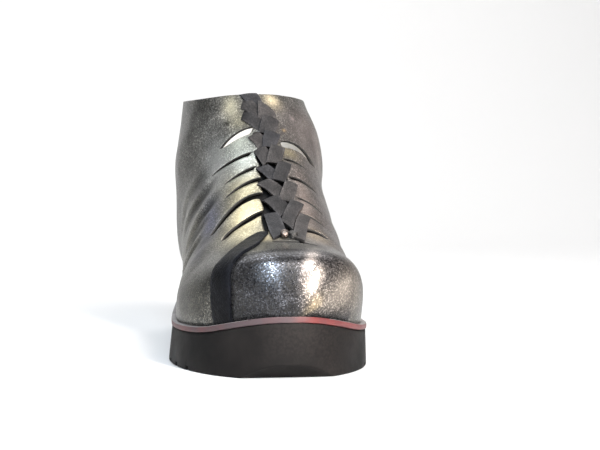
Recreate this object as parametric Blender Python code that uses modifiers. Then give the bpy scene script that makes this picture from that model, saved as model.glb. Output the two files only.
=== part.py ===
"""A right ankle boot: slit metallic upper, plaited instep, red-edged midsole, thick rubber outsole.

Metres, +Z up. The toe points to -Y, the outer (lateral) side is -X and the inner (medial) side is +X.
A station is the distance behind the toe tip of the sole, in millimetres.
"""

import math

import bmesh
import bpy

# Driving dimensions, in millimetres
MM = 0.001
SOLE_LENGTH = 268.0
ACROSS_CENTRE = -2.1
GAP = 0.3
WALL = 2.0
WELT_LEDGE = 2.2
MIDSOLE_THICK = 2.8
MIDSOLE_PROUD = 0.5
INSOLE_THICK = 3.0
INSOLE_INSET = 6.0
TOE_CAP_REACH = 66.0
TOE_CAP_POWER = 2.0
HEEL_CAP_REACH = 34.0
HEEL_CAP_POWER = 2.2
FLARE_LATERAL = 2.0
FLARE_MEDIAL = 0.4
TOE_BEVEL_RISE = 7.0
TOE_BEVEL_RUN = 8.5
HEEL_BEVEL_RISE = 2.0
HEEL_BEVEL_RUN = 7.0
ARCH_RISE = 3.0
ARCH_FROM = 132.0
ARCH_TO = 192.0
GROOVE_DEPTH = 2.0
GROOVE_WIDTH = 3.2
GROOVE_STATIONS = (42.0, 58.0, 74.0, 90.0, 106.0, 122.0, 202.0, 218.0, 234.0, 250.0)

# Sole outline and top line: half widths either side of the centre line, and the height of the midsole's top
SOLE_COLUMNS = ("station", "lateral", "medial", "top")
SOLE_ROWS = (
    (0.0, 46.0, 45.0, 30.2),
    (14.0, 46.5, 45.5, 26.2),
    (30.0, 47.2, 46.2, 23.0),
    (52.0, 48.6, 47.0, 21.7),
    (85.0, 50.3, 47.5, 21.6),
    (140.0, 43.5, 39.5, 26.6),
    (190.0, 35.0, 34.8, 33.4),
    (230.0, 34.0, 35.8, 35.9),
    (268.0, 33.5, 36.0, 36.4),
)

# Sections of the upper's outer face. Each is a plane through a point of the ridge (instep line) and a point
# of the base (sole edge, then the back of the heel). lateral and medial are its widest half widths, peak is
# how far up from base to ridge it is widest, crown and round are the powers of its upper and lower curves,
# lean shifts the ridge to the medial side and dip lowers the middle of the section. A base_z of None is
# the sole edge.
SECTION_COLUMNS = (
    "ridge_s", "ridge_z", "base_s", "base_z", "lateral", "medial", "peak", "crown", "round", "lean", "dip",
)
SECTION_ROWS = (
    (2.2, None, 4.0, None, 7.5, 7.4, 0.45, 2.0, 1.0, 0.0, 0.0),
    (1.8, 37.0, 6.0, None, 15.2, 14.8, 0.35, 2.2, 2.0, 0.5, 0.0),
    (2.4, 46.0, 9.0, None, 20.5, 20.0, 0.35, 2.4, 2.0, 1.0, 0.0),
    (4.8, 53.3, 14.0, None, 26.6, 26.0, 0.35, 2.7, 2.0, 1.5, 0.0),
    (9.5, 57.6, 20.0, None, 32.0, 31.3, 0.35, 2.9, 2.0, 2.0, 0.0),
    (17.0, 59.6, 29.0, None, 37.8, 36.7, 0.31, 2.8, 2.0, 2.5, 0.0),
    (28.0, 60.8, 40.0, None, 42.6, 40.8, 0.27, 2.6, 2.0, 3.0, 0.0),
    (41.0, 62.5, 54.0, None, 46.4, 43.8, 0.22, 2.4, 2.0, 3.4, 0.0),
    (55.0, 66.0, 68.0, None, 48.4, 44.6, 0.20, 2.2, 2.0, 3.8, 0.0),
    (70.0, 72.2, 85.0, None, 48.4, 44.8, 0.20, 2.1, 2.0, 4.5, 0.0),
    (77.0, 76.3, 102.0, None, 46.1, 44.7, 0.22, 2.0, 2.0, 4.8, 0.0),
    (83.0, 80.5, 121.0, None, 43.9, 44.5, 0.25, 2.0, 2.0, 5.0, 0.0),
    (89.0, 85.1, 142.0, None, 41.9, 44.2, 0.29, 2.0, 2.0, 5.0, 0.0),
    (95.0, 90.0, 165.0, None, 40.4, 43.6, 0.33, 2.0, 2.0, 5.0, 0.0),
    (100.5, 95.0, 190.0, None, 39.5, 42.9, 0.37, 2.0, 2.0, 4.8, 0.0),
    (106.0, 100.4, 213.0, None, 38.6, 42.2, 0.42, 2.0, 2.1, 4.5, 0.0),
    (111.0, 105.7, 233.0, None, 37.8, 41.8, 0.45, 2.0, 2.3, 4.2, 0.0),
    (115.5, 110.7, 248.5, None, 37.8, 42.0, 0.47, 2.0, 2.4, 3.8, 0.0),
    (119.0, 114.9, 258.5, None, 38.0, 42.8, 0.48, 2.0, 2.5, 3.5, 0.0),
    (121.9, 118.5, 263.8, None, 38.0, 43.4, 0.49, 2.0, 2.6, 3.2, 0.0),
    (124.5, 121.8, 265.8, None, 38.1, 43.8, 0.50, 2.0, 2.6, 2.9, 0.0),
    (127.0, 125.1, 266.3, 40.0, 38.3, 44.4, 0.50, 2.0, 2.6, 2.6, 0.0),
    (129.4, 128.2, 266.6, 48.0, 39.0, 45.2, 0.50, 2.0, 2.6, 2.2, 0.0),
    (131.7, 131.2, 266.5, 61.0, 40.0, 45.1, 0.50, 2.0, 2.6, 1.8, 0.3),
    (133.9, 134.0, 265.4, 79.0, 39.7, 43.4, 0.50, 2.1, 2.5, 1.3, 0.9),
    (135.9, 136.6, 262.9, 99.0, 37.8, 40.7, 0.50, 2.15, 2.45, 0.9, 1.6),
    (137.6, 138.8, 259.4, 120.0, 36.0, 37.3, 0.50, 2.2, 2.4, 0.4, 2.3),
    (139.0, 140.5, 256.0, 141.0, 34.9, 34.0, 0.50, 2.3, 2.3, 0.0, 3.0),
)

# Plan of the heel at each height: the station of its back, its half widths, and how far its round reaches
HEEL_COLUMNS = ("height", "back", "lateral", "medial", "reach")
HEEL_ROWS = (
    (36.0, 265.8, 31.6, 33.7, 34.0),
    (48.0, 266.6, 35.2, 38.5, 36.0),
    (62.0, 266.5, 37.3, 42.0, 42.0),
    (80.0, 265.3, 38.3, 44.2, 50.0),
    (102.0, 262.5, 39.6, 45.0, 58.0),
    (122.0, 259.0, 37.0, 40.5, 60.0),
    (142.0, 255.8, 34.9, 34.0, 60.0),
)
HEEL_BLEND_FROM = 180.0
HEEL_BLEND_RUN = 45.0
PEAK_TURN = 0.64
COLUMNS_ABOVE_PEAK = 8
COLUMNS_BELOW_PEAK = 4
ROWS_PER_SECTION = 2
LAST_SECTION = float(len(SECTION_ROWS) - 1)
HEEL_SECTION = 20.0
DIP_POWER = 4.0

# Slits beside the braid, from their inner end at the braid to their outer end: section number and turn
# (share of the way from the ridge to the sole edge, lateral below 0) of each end, and the widest gap
SLIT_COLUMNS = ("inner_section", "inner_turn", "outer_section", "outer_turn", "gap")
SLIT_ROWS = (
    (10.49, -0.040, 8.61, -0.255, 2.6),
    (12.25, -0.040, 10.45, -0.345, 2.6),
    (14.05, -0.050, 13.33, -0.262, 2.4),
    (15.21, -0.075, 14.65, -0.260, 2.2),
    (16.81, -0.090, 18.05, -0.330, 2.2),
    (19.81, -0.083, 18.95, -0.267, 3.6),
    (7.29, 0.010, 6.93, 0.103, 2.0),
    (8.60, 0.117, 8.55, 0.252, 2.4),
    (10.30, 0.120, 10.05, 0.260, 2.4),
    (12.13, 0.115, 11.65, 0.268, 2.4),
    (14.17, 0.093, 14.01, 0.242, 2.2),
    (15.97, 0.075, 15.85, 0.225, 2.2),
    (17.69, 0.083, 17.25, 0.320, 3.6),
)
SLIT_STEPS = 6
CUT_OUT = 4.0
CUT_IN = 5.0

# Braid: half width of the plait, how far it lies to the medial side of the ridge below the ankle, the
# sections where it starts and stops, and the relief of its strips
BRAID_HALF = 9.6
BRAID_SHIFT = 2.8
BRAID_SHIFT_FROM = 15.0
BRAID_SHIFT_TO = 20.0
BRAID_FROM = 8.35
BRAID_TO = 26.9
BRAID_STRIPS = 8
BRAID_STEPS_PER_STRIP = 5
BRAID_COLUMNS = 10
BRAID_THIN = 1.1
BRAID_THICK = 2.6
BRAID_CHEVRON = 0.8
BRAID_NOTCH = 2.8

# Vamp strap: section number and turn of its centre line, from the welt to the foot of the braid
STRAP_COLUMNS = ("section", "turn")
STRAP_ROWS = (
    (4.05, -0.81),
    (3.97, -0.72),
    (4.05, -0.60),
    (4.65, -0.42),
    (5.77, -0.275),
    (7.20, -0.19),
    (8.00, -0.12),
)
STRAP_HALF = 5.0
STRAP_END_HALF = 2.6
STRAP_THICK = 1.6
STRAP_STEPS = 18

KNOT_SECTION = 7.95
KNOT_RADIUS = 2.4
KNOT_LENGTH = 9.0

COLOURS = {
    "rubber": ((0.022, 0.021, 0.021, 1.0), 0.62, 0.0),
    "edge_red": ((0.30, 0.07, 0.06, 1.0), 0.55, 0.0),
    "footbed": ((0.42, 0.37, 0.31, 1.0), 0.75, 0.0),
    "pewter": ((0.36, 0.34, 0.30, 1.0), 0.38, 0.8),
    "black_leather": ((0.035, 0.035, 0.038, 1.0), 0.6, 0.0),
    "knot_leather": ((0.06, 0.055, 0.055, 1.0), 0.5, 0.0),
}


def clear_scene():
    for item in list(bpy.data.objects):
        bpy.data.objects.remove(item)


def collection(name):
    made = bpy.data.collections.new(name)
    bpy.context.scene.collection.children.link(made)
    return made


def material(name):
    colour, roughness, metallic = COLOURS[name]
    made = bpy.data.materials.new(name)
    made.use_nodes = True
    shader = made.node_tree.nodes["Principled BSDF"]
    shader.inputs["Base Color"].default_value = colour
    shader.inputs["Roughness"].default_value = roughness
    shader.inputs["Metallic"].default_value = metallic
    return made


def add_object(name, mesh_data, group, finish=None):
    made = bpy.data.objects.new(name, mesh_data)
    group.objects.link(made)
    if finish:
        mesh_data.materials.append(finish)
        mesh_data.shade_smooth()
        mesh_data.set_sharp_from_angle(angle=math.radians(35))
    return made


# Smooth curves through table rows

def catmull(a, b, c, d, t):
    """The smooth value between b and c, with a and d beside them."""
    return 0.5 * (
        2 * b + (c - a) * t + (2 * a - 5 * b + 4 * c - d) * t * t + (3 * b - a - 3 * c + d) * t ** 3
    )


def along(values, position):
    """Value at a fractional row of a list, smooth through its rows."""
    last = len(values) - 1
    row = min(max(int(math.floor(position)), 0), last - 1)
    before = values[max(row - 1, 0)]
    after = values[min(row + 2, last)]
    return catmull(before, values[row], values[row + 1], after, position - row)


def hermite(xs, ys, x):
    """Value at x of the smooth curve through unevenly spaced rows."""
    row = 0
    while row < len(xs) - 2 and x > xs[row + 1]:
        row += 1
    span = xs[row + 1] - xs[row]
    t = (x - xs[row]) / span

    def slope(i):
        low, high = max(i - 1, 0), min(i + 1, len(xs) - 1)
        return (ys[high] - ys[low]) / (xs[high] - xs[low])

    start, end = slope(row) * span, slope(row + 1) * span
    return (
        (2 * t ** 3 - 3 * t ** 2 + 1) * ys[row]
        + (t ** 3 - 2 * t ** 2 + t) * start
        + (3 * t ** 2 - 2 * t ** 3) * ys[row + 1]
        + (t ** 3 - t ** 2) * end
    )


# The sole

SOLE = {name: [row[i] for row in SOLE_ROWS] for i, name in enumerate(SOLE_COLUMNS)}


def sole_value(column, station):
    return hermite(SOLE["station"], SOLE[column], station)


def round_end(distance, reach, power):
    share = min(max(distance / reach, 0.0), 1.0)
    return (1.0 - (1.0 - share) ** power) ** (1.0 / power)


def half_width(side, station, inset):
    """Half width of the sole outline drawn in by inset, on the lateral (-1) or medial (+1) side."""
    column = "lateral" if side < 0 else "medial"
    toe = round_end(station - inset, TOE_CAP_REACH, TOE_CAP_POWER)
    heel = round_end(SOLE_LENGTH - inset - station, HEEL_CAP_REACH, HEEL_CAP_POWER)
    return (sole_value(column, station) - inset) * toe * heel


def sole_top(station):
    return sole_value("top", min(max(station, 0.0), SOLE_LENGTH))


def sole_bottom(station):
    """Height of the tread: bevelled toe and heel, flat forefoot and heel, raised arch between."""
    if station < TOE_BEVEL_RUN:
        return TOE_BEVEL_RISE * (1.0 - station / TOE_BEVEL_RUN)
    behind = SOLE_LENGTH - station
    if behind < HEEL_BEVEL_RUN:
        return HEEL_BEVEL_RISE * (1.0 - behind / HEEL_BEVEL_RUN)
    if ARCH_FROM < station < ARCH_TO:
        turn = (station - ARCH_FROM) / (ARCH_TO - ARCH_FROM)
        return ARCH_RISE * math.sin(math.pi * turn) ** 2
    return 0.0


def place(x, station, z):
    """A point of the shoe in metres, from millimetres across, behind the toe tip, and up.

    The frame's origin is under the middle of the shoe's outer box."""
    return ((x - ACROSS_CENTRE) * MM, (station - SOLE_LENGTH / 2) * MM, z * MM)


def no_flare(side):
    return 0.0


def plate_stations(inset, count):
    """Stations along a plate, close together where its ends are round."""
    low, high = inset, SOLE_LENGTH - inset
    middle, half = (low + high) / 2, (high - low) / 2
    return [middle - half * math.cos(math.pi * i / count) for i in range(count + 1)]


def plate(name, inset, count, bottom, top, flare, group, finish=None):
    """A layer of the sole: its outline drawn in by inset, between two heights that change with station.

    flare(side, share) widens it from share 0 at the top to 1 at the bottom.
    """
    stations = plate_stations(inset, count)
    stations[0] += 0.02
    stations[-1] -= 0.02
    grid = bmesh.new()
    bmesh.ops.create_grid(grid, x_segments=1, y_segments=count, size=1.0)
    rows = {}
    for vert in grid.verts:
        row = round((vert.co.y + 1.0) / 2.0 * count)
        rows[vert] = (row, -1 if vert.co.x < 0 else 1)
    lower = dict(rows)
    raised = bmesh.ops.extrude_face_region(grid, geom=list(grid.faces))
    upper = [item for item in raised["geom"] if isinstance(item, bmesh.types.BMVert)]
    near = {vert: vert.co.copy() for vert in upper}
    for vert in upper:
        row = round((near[vert].y + 1.0) / 2.0 * count)
        side = -1 if near[vert].x < 0 else 1
        station = stations[row]
        vert.co = place(side * half_width(side, station, inset), station, top(station))
    for vert, (row, side) in lower.items():
        station = stations[row]
        wide = half_width(side, station, inset) + flare(side)
        vert.co = place(side * wide, station, bottom(station))
    bmesh.ops.triangulate(grid, faces=grid.faces)
    bmesh.ops.recalc_face_normals(grid, faces=grid.faces)
    made = bpy.data.meshes.new(name)
    grid.to_mesh(made)
    grid.free()
    return add_object(name, made, group, finish)


# The last: the outer face of the upper

SECTION = {name: [row[i] for row in SECTION_ROWS] for i, name in enumerate(SECTION_COLUMNS)}


def seat(station):
    """Height at which the upper stands on the midsole."""
    return sole_top(station) + GAP


def fill_seats():
    """Puts the sole edge's height wherever a section's table leaves it out."""
    for end in ("ridge", "base"):
        heights = SECTION[end + "_z"]
        for i, height in enumerate(heights):
            if height is None:
                heights[i] = seat(SECTION[end + "_s"][i])


fill_seats()


HEEL = {name: [row[i] for row in HEEL_ROWS] for i, name in enumerate(HEEL_COLUMNS)}


def heel_half(side, station, height):
    """Half width of the heel's round plan at a station and a height."""
    at = {name: hermite(HEEL["height"], HEEL[name], height) for name in HEEL_COLUMNS}
    wide = at["lateral"] if side < 0 else at["medial"]
    return wide * round_end(at["back"] - station, at["reach"], HEEL_CAP_POWER)


def heel_share(station):
    """How much of a point's width comes from the heel's plan: none at the ankle, all behind it."""
    t = min(max((station - HEEL_BLEND_FROM) / HEEL_BLEND_RUN, 0.0), 1.0)
    return t * t * (3.0 - 2.0 * t)


def last_point(section, turn):
    """Point of the upper's outer face: section 0 at the toe to the last at the collar, turn from -1 at the
    lateral sole edge over 0 at the ridge to 1 at the medial sole edge."""
    at = {name: along(SECTION[name], section) for name in SECTION_COLUMNS}
    side = -1 if turn < 0 else 1
    wide = at["lateral"] if side < 0 else at["medial"]
    foot = half_width(side, at["base_s"], WELT_LEDGE) if section < HEEL_SECTION else 0.0
    share = min(abs(turn), 1.0)
    if share <= PEAK_TURN:
        angle = (1.0 - share / PEAK_TURN) * math.pi / 2
        rise = at["peak"] + (1.0 - at["peak"]) * math.sin(angle) ** (2.0 / at["crown"])
        across = wide * max(math.cos(angle), 0.0) ** (2.0 / at["crown"])
    else:
        angle = (share - PEAK_TURN) / (1.0 - PEAK_TURN) * math.pi / 2
        rise = at["peak"] * (1.0 - math.sin(angle) ** (2.0 / at["round"]))
        across = foot + (wide - foot) * max(math.cos(angle), 0.0) ** (2.0 / at["round"])
    station = at["base_s"] + (at["ridge_s"] - at["base_s"]) * rise
    height = at["base_z"] + (at["ridge_z"] - at["base_z"]) * rise
    if share > 0.999 and section >= HEEL_SECTION:
        across = 0.0
    else:
        across += (heel_half(side, station, height) - across) * heel_share(station)
    height -= at["dip"] * (1.0 - abs(2.0 * rise - 1.0) ** DIP_POWER)
    return side * across + at["lean"] * rise ** 2, station, height


def last_normal(section, turn):
    """Outward unit normal of the last, from short steps along it and around it."""
    step = 0.02
    low, high = max(section - step, 0.05), min(section + step, LAST_SECTION)
    a, b = last_point(low, turn), last_point(high, turn)
    c, d = last_point(section, turn - step / 2), last_point(section, turn + step / 2)
    u = [q - p for p, q in zip(a, b)]
    v = [q - p for p, q in zip(c, d)]
    n = (v[1] * u[2] - v[2] * u[1], v[2] * u[0] - v[0] * u[2], v[0] * u[1] - v[1] * u[0])
    size = math.sqrt(sum(p * p for p in n)) or 1.0
    return [p / size for p in n]


def above_last(section, turn, lift):
    """Point at a height over the upper's outer face, in metres."""
    point = last_point(section, turn)
    normal = last_normal(section, turn)
    return place(*(p + lift * n for p, n in zip(point, normal)))


def turn_at(section, offset):
    """Turn of the point that lies offset millimetres to the medial side of the ridge."""
    side = -1 if offset < 0 else 1
    wide = along(SECTION["lateral" if side < 0 else "medial"], section)
    crown = along(SECTION["crown"], section)
    angle = math.acos(min(abs(offset) / wide, 1.0) ** (crown / 2.0))
    return side * PEAK_TURN * (1.0 - angle / (math.pi / 2))


def upper_turns():
    """Turns of the upper's mesh columns, from the lateral to the medial sole edge."""
    above = [PEAK_TURN * i / COLUMNS_ABOVE_PEAK for i in range(COLUMNS_ABOVE_PEAK)]
    below = [
        PEAK_TURN + (1.0 - PEAK_TURN) * i / COLUMNS_BELOW_PEAK for i in range(COLUMNS_BELOW_PEAK + 1)
    ]
    half = above + below
    return [-t for t in reversed(half[1:])] + half


def inner_point(vert):
    """Point of the upper's inner face behind a vertex of its outer face, kept above the seat."""
    point = vert.co - vert.normal * (WALL * MM)
    station = point.y / MM + SOLE_LENGTH / 2
    point.z = max(point.z, seat(station) * MM)
    return point


def upper_wall(group, finish):
    """The wall of the upper: its outer face, stitched up the back of the heel, and its inner face."""
    turns = upper_turns()
    across = len(turns) - 1
    count = int(LAST_SECTION) * ROWS_PER_SECTION
    grid = bmesh.new()
    bmesh.ops.create_grid(grid, x_segments=across, y_segments=count, size=1.0)
    for vert in grid.verts:
        turn = turns[round((vert.co.x + 1.0) / 2.0 * across)]
        section = round((vert.co.y + 1.0) / 2.0 * count) / ROWS_PER_SECTION
        vert.co = place(*last_point(section, turn))
    bmesh.ops.remove_doubles(grid, verts=grid.verts, dist=0.00002)
    bmesh.ops.recalc_face_normals(grid, faces=grid.faces)
    grid.normal_update()
    if sum(face.normal.z for face in grid.faces) < 0:
        bmesh.ops.reverse_faces(grid, faces=grid.faces)
        grid.normal_update()
    inner = {tuple(vert.co): inner_point(vert) for vert in grid.verts}
    raised = bmesh.ops.extrude_face_region(grid, geom=list(grid.faces))
    for item in raised["geom"]:
        if isinstance(item, bmesh.types.BMVert):
            item.co = inner[tuple(item.co)]
    bmesh.ops.triangulate(grid, faces=grid.faces)
    bmesh.ops.recalc_face_normals(grid, faces=grid.faces)
    made = bpy.data.meshes.new("upper")
    grid.to_mesh(made)
    grid.free()
    return add_object("upper", made, group, finish)


def ribbon(name, path, halves, low, high, group, finish=None, across=1):
    """A closed strip over the upper along a path of (section, turn), between two lifts.

    halves gives the half width, in millimetres, at each point of the path.
    """
    count = len(path) - 1
    grid = bmesh.new()
    bmesh.ops.create_grid(grid, x_segments=across, y_segments=count, size=1.0)
    cells = {
        vert: (round((vert.co.y + 1.0) / 2.0 * count), vert.co.x) for vert in grid.verts
    }
    raised = bmesh.ops.extrude_face_region(grid, geom=list(grid.faces))
    tops = [item for item in raised["geom"] if isinstance(item, bmesh.types.BMVert)]
    top_cells = {vert: (round((vert.co.y + 1.0) / 2.0 * count), vert.co.x) for vert in tops}
    for group_cells, lift in ((cells, low), (top_cells, high)):
        for vert, (row, share) in group_cells.items():
            vert.co = ribbon_point(path, halves, row, share, lift)
    bmesh.ops.triangulate(grid, faces=grid.faces)
    bmesh.ops.recalc_face_normals(grid, faces=grid.faces)
    made = bpy.data.meshes.new(name)
    grid.to_mesh(made)
    grid.free()
    return add_object(name, made, group, finish)


def ribbon_point(path, halves, row, share, lift):
    """Point of a ribbon at a row of its path, share -1 to 1 across it, at a lift over the upper."""
    here = last_point(*path[row])
    ahead = last_point(*path[min(row + 1, len(path) - 1)])
    behind = last_point(*path[max(row - 1, 0)])
    normal = last_normal(*path[row])
    run = [q - p for p, q in zip(behind, ahead)]
    flat = (
        run[1] * normal[2] - run[2] * normal[1],
        run[2] * normal[0] - run[0] * normal[2],
        run[0] * normal[1] - run[1] * normal[0],
    )
    size = math.sqrt(sum(p * p for p in flat)) or 1.0
    reach = share * halves[row]
    return place(*(p + reach * f / size + lift * n for p, f, n in zip(here, flat, normal)))


def slit_cutters(group):
    """Lens-shaped cutters through the upper's wall, one for each slit."""
    made = []
    for number, row in enumerate(SLIT_ROWS):
        slit = dict(zip(SLIT_COLUMNS, row))
        path, halves = [], []
        for i in range(SLIT_STEPS + 1):
            share = i / SLIT_STEPS
            section = slit["inner_section"] + (slit["outer_section"] - slit["inner_section"]) * share
            turn = slit["inner_turn"] + (slit["outer_turn"] - slit["inner_turn"]) * share
            path.append((section, turn))
            halves.append(0.12 + slit["gap"] / 2 * math.sin(math.pi * share ** 0.6) ** 0.7)
        made.append(ribbon(f"slit_{number}", path, halves, -CUT_IN, CUT_OUT, group))
    return made


def upper(group, cutters, finish):
    """The upper: the last's outer face given a wall of leather, with the slits cut through it."""
    shell = upper_wall(group, finish)
    for cutter in slit_cutters(cutters):
        cutter.hide_render = True
        cutter.display_type = "WIRE"
        cut = shell.modifiers.new(cutter.name, "BOOLEAN")
        cut.operation = "DIFFERENCE"
        cut.object = cutter
    return shell


def braid(group, finish):
    """The plait: one wall over the instep, its two rows of strips raised like roof tiles."""
    count = BRAID_STRIPS * BRAID_STEPS_PER_STRIP
    grid = bmesh.new()
    bmesh.ops.create_grid(grid, x_segments=BRAID_COLUMNS, y_segments=count, size=1.0)
    flat = {vert: (vert.co.x, (vert.co.y + 1.0) / 2.0) for vert in grid.verts}
    raised = bmesh.ops.extrude_face_region(grid, geom=list(grid.faces))
    tops = [item for item in raised["geom"] if isinstance(item, bmesh.types.BMVert)]
    relief = {vert: (vert.co.x, (vert.co.y + 1.0) / 2.0) for vert in tops}
    for cells, is_top in ((flat, False), (relief, True)):
        for vert, (share, run) in cells.items():
            vert.co = braid_point(share, run, is_top)
    bmesh.ops.recalc_face_normals(grid, faces=grid.faces)
    made = bpy.data.meshes.new("braid")
    grid.to_mesh(made)
    grid.free()
    return add_object("braid", made, group, finish)


def braid_point(share, run, is_top):
    """Point of the plait: share -1 to 1 across, run 0 at the toe end to 1 at the collar."""
    half_shift = 0.0 if share < 0 else 0.5
    phase = (run * BRAID_STRIPS - BRAID_CHEVRON * abs(share) + half_shift) % 1.0
    notch = BRAID_NOTCH * abs(share) ** 3 * abs(2.0 * phase - 1.0)
    section = BRAID_FROM + (BRAID_TO - BRAID_FROM) * run
    fade = (BRAID_SHIFT_TO - section) / (BRAID_SHIFT_TO - BRAID_SHIFT_FROM)
    offset = share * (BRAID_HALF - notch) + BRAID_SHIFT * min(max(fade, 0.0), 1.0)
    lift = GAP + (BRAID_THIN + (BRAID_THICK - BRAID_THIN) * phase if is_top else 0.0)
    return above_last(section, turn_at(section, offset), lift)


def strap(group, finish):
    """The strip from the outer welt over the toe to the foot of the braid."""
    sections = [row[0] for row in STRAP_ROWS]
    turns = [row[1] for row in STRAP_ROWS]
    path, halves = [], []
    for i in range(STRAP_STEPS + 1):
        share = i / STRAP_STEPS
        position = share * (len(STRAP_ROWS) - 1)
        path.append((along(sections, position), along(turns, position)))
        halves.append(STRAP_HALF + (STRAP_END_HALF - STRAP_HALF) * max(2.0 * share - 1.0, 0.0) ** 1.5)
    return ribbon("vamp_strap", path, halves, GAP, GAP + STRAP_THICK, group, finish, across=4)


def knot(group, finish):
    """The rolled end of the lace that lies across the foot of the braid."""
    x, station, z = last_point(KNOT_SECTION, 0.0)
    bpy.ops.mesh.primitive_cylinder_add(
        vertices=16, radius=KNOT_RADIUS * MM, depth=KNOT_LENGTH * MM, rotation=(0.0, math.pi / 2, 0.0)
    )
    made = bpy.context.active_object
    for old in list(made.users_collection):
        old.objects.unlink(made)
    group.objects.link(made)
    made.name = "lace_knot"
    made.location = place(x, station, z + KNOT_RADIUS + GAP)
    made.data.materials.append(finish)
    edge = made.modifiers.new("edge", "BEVEL")
    edge.width = 0.8 * MM
    edge.segments = 2
    return made


def outsole(group, cutters, finish):
    """The rubber unit: flared wall, sprung top, bevelled toe and grooved tread."""
    def flare(side):
        return FLARE_LATERAL if side < 0 else FLARE_MEDIAL

    made = plate(
        "outsole", 0.0, 44, sole_bottom, lambda s: sole_top(s) - MIDSOLE_THICK - GAP, flare, group, finish
    )
    for number, station in enumerate(GROOVE_STATIONS):
        bpy.ops.mesh.primitive_cube_add(size=1.0)
        cutter = bpy.context.active_object
        for old in list(cutter.users_collection):
            old.objects.unlink(cutter)
        cutters.objects.link(cutter)
        cutter.name = f"groove_{number}"
        cutter.scale = (0.14, GROOVE_WIDTH * MM, 2 * GROOVE_DEPTH * MM)
        cutter.location = place(0.0, station, 0.0)
        cutter.hide_render = True
        cutter.display_type = "WIRE"
        cut = made.modifiers.new(cutter.name, "BOOLEAN")
        cut.operation = "DIFFERENCE"
        cut.object = cutter
    return made


def main():
    clear_scene()
    boot = collection("ankle_boot")
    cutters = collection("cutters")
    outsole(boot, cutters, material("rubber"))
    plate(
        "midsole", -MIDSOLE_PROUD, 40, lambda s: sole_top(s) - MIDSOLE_THICK, sole_top, no_flare,
        boot, material("edge_red"),
    )
    plate(
        "insole", INSOLE_INSET, 32, seat, lambda s: seat(s) + INSOLE_THICK, no_flare,
        boot, material("footbed"),
    )
    upper(boot, cutters, material("pewter"))
    leather = material("black_leather")
    braid(boot, leather)
    strap(boot, leather)
    knot(boot, material("knot_leather"))


main()
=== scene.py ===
import math
from collections import namedtuple

import bmesh
import bpy
from mathutils import Matrix, Vector, noise


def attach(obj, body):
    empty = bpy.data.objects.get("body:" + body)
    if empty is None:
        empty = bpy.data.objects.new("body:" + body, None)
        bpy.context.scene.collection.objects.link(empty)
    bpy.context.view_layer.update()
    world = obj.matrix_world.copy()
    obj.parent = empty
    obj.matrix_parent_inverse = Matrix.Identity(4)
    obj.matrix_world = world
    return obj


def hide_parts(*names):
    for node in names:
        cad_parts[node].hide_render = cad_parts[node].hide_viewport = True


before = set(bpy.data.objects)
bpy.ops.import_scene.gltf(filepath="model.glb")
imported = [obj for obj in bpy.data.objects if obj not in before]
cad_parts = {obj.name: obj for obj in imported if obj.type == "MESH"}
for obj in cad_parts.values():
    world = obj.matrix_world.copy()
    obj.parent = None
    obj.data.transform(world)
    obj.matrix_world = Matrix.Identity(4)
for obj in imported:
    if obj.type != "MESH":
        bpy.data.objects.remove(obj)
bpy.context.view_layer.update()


# Outsole
# A thick unit of moulded black rubber: a sprung wedge with a bevelled toe and cross grooves in the tread.
# It is cast in one piece and cemented under the welt layer.

MM = 0.001
SOLE_LENGTH = 268.0
ACROSS_CENTRE = -2.1
TOE_REACH = 66.0
TOE_POWER = 2.0
HEEL_REACH = 34.0
HEEL_POWER = 2.2
SOLE_ROWS = (
    # station behind the toe tip, lateral half width, medial half width, height of the welt layer's top
    (0.0, 46.0, 45.0, 30.2),
    (14.0, 46.5, 45.5, 26.2),
    (30.0, 47.2, 46.2, 23.0),
    (52.0, 48.6, 47.0, 21.7),
    (85.0, 50.3, 47.5, 21.6),
    (140.0, 43.5, 39.5, 26.6),
    (190.0, 34.4, 34.8, 33.4),
    (230.0, 33.0, 35.8, 35.9),
    (268.0, 32.5, 36.0, 36.4),
)
GROOVE_STEP = 16.0
FOREFOOT_GROOVES = [42.0 + GROOVE_STEP * i for i in range(6)]
HEEL_GROOVES = [202.0 + GROOVE_STEP * i for i in range(4)]
TREAD_GROOVES = FOREFOOT_GROOVES + HEEL_GROOVES
GROOVE_WIDTH = 3.2
GROOVE_DEPTH = 2.0
GROOVE_WALL = 0.12
GROOVE_FADE = 6.0
TOE_BEVEL = 8.5
TOE_BEVEL_RISE = 7.0
HEEL_BEVEL = 7.0
HEEL_BEVEL_RISE = 2.0
ARCH_FROM = 132.0
ARCH_LENGTH = 60.0
ARCH_RISE = 3.0
LATERAL_FLARE = 2.0
MEDIAL_FLARE = 0.4
WELT_THICK = 2.8
PIECE_GAP = 0.3
LEAST_HALF = 0.05
HAIR = 0.01


def smooth_curve(xs, ys, x):
    """Value at x of the smooth curve through the points (xs, ys)."""
    row = 0
    while row < len(xs) - 2 and x > xs[row + 1]:
        row += 1
    span = xs[row + 1] - xs[row]
    t = (x - xs[row]) / span
    slopes = []
    for i in (row, row + 1):
        low, high = max(i - 1, 0), min(i + 1, len(xs) - 1)
        slopes.append((ys[high] - ys[low]) / (xs[high] - xs[low]) * span)
    return (
        (2 * t ** 3 - 3 * t ** 2 + 1) * ys[row]
        + (t ** 3 - 2 * t ** 2 + t) * slopes[0]
        + (3 * t ** 2 - 2 * t ** 3) * ys[row + 1]
        + (t ** 3 - t ** 2) * slopes[1]
    )


def ease(t):
    t = min(max(t, 0.0), 1.0)
    return t * t * (3.0 - 2.0 * t)


def round_end(distance, reach, power):
    share = min(max(distance / reach, 0.0), 1.0)
    return (1.0 - (1.0 - share) ** power) ** (1.0 / power)


SOLE_STATIONS = [row[0] for row in SOLE_ROWS]


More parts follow.
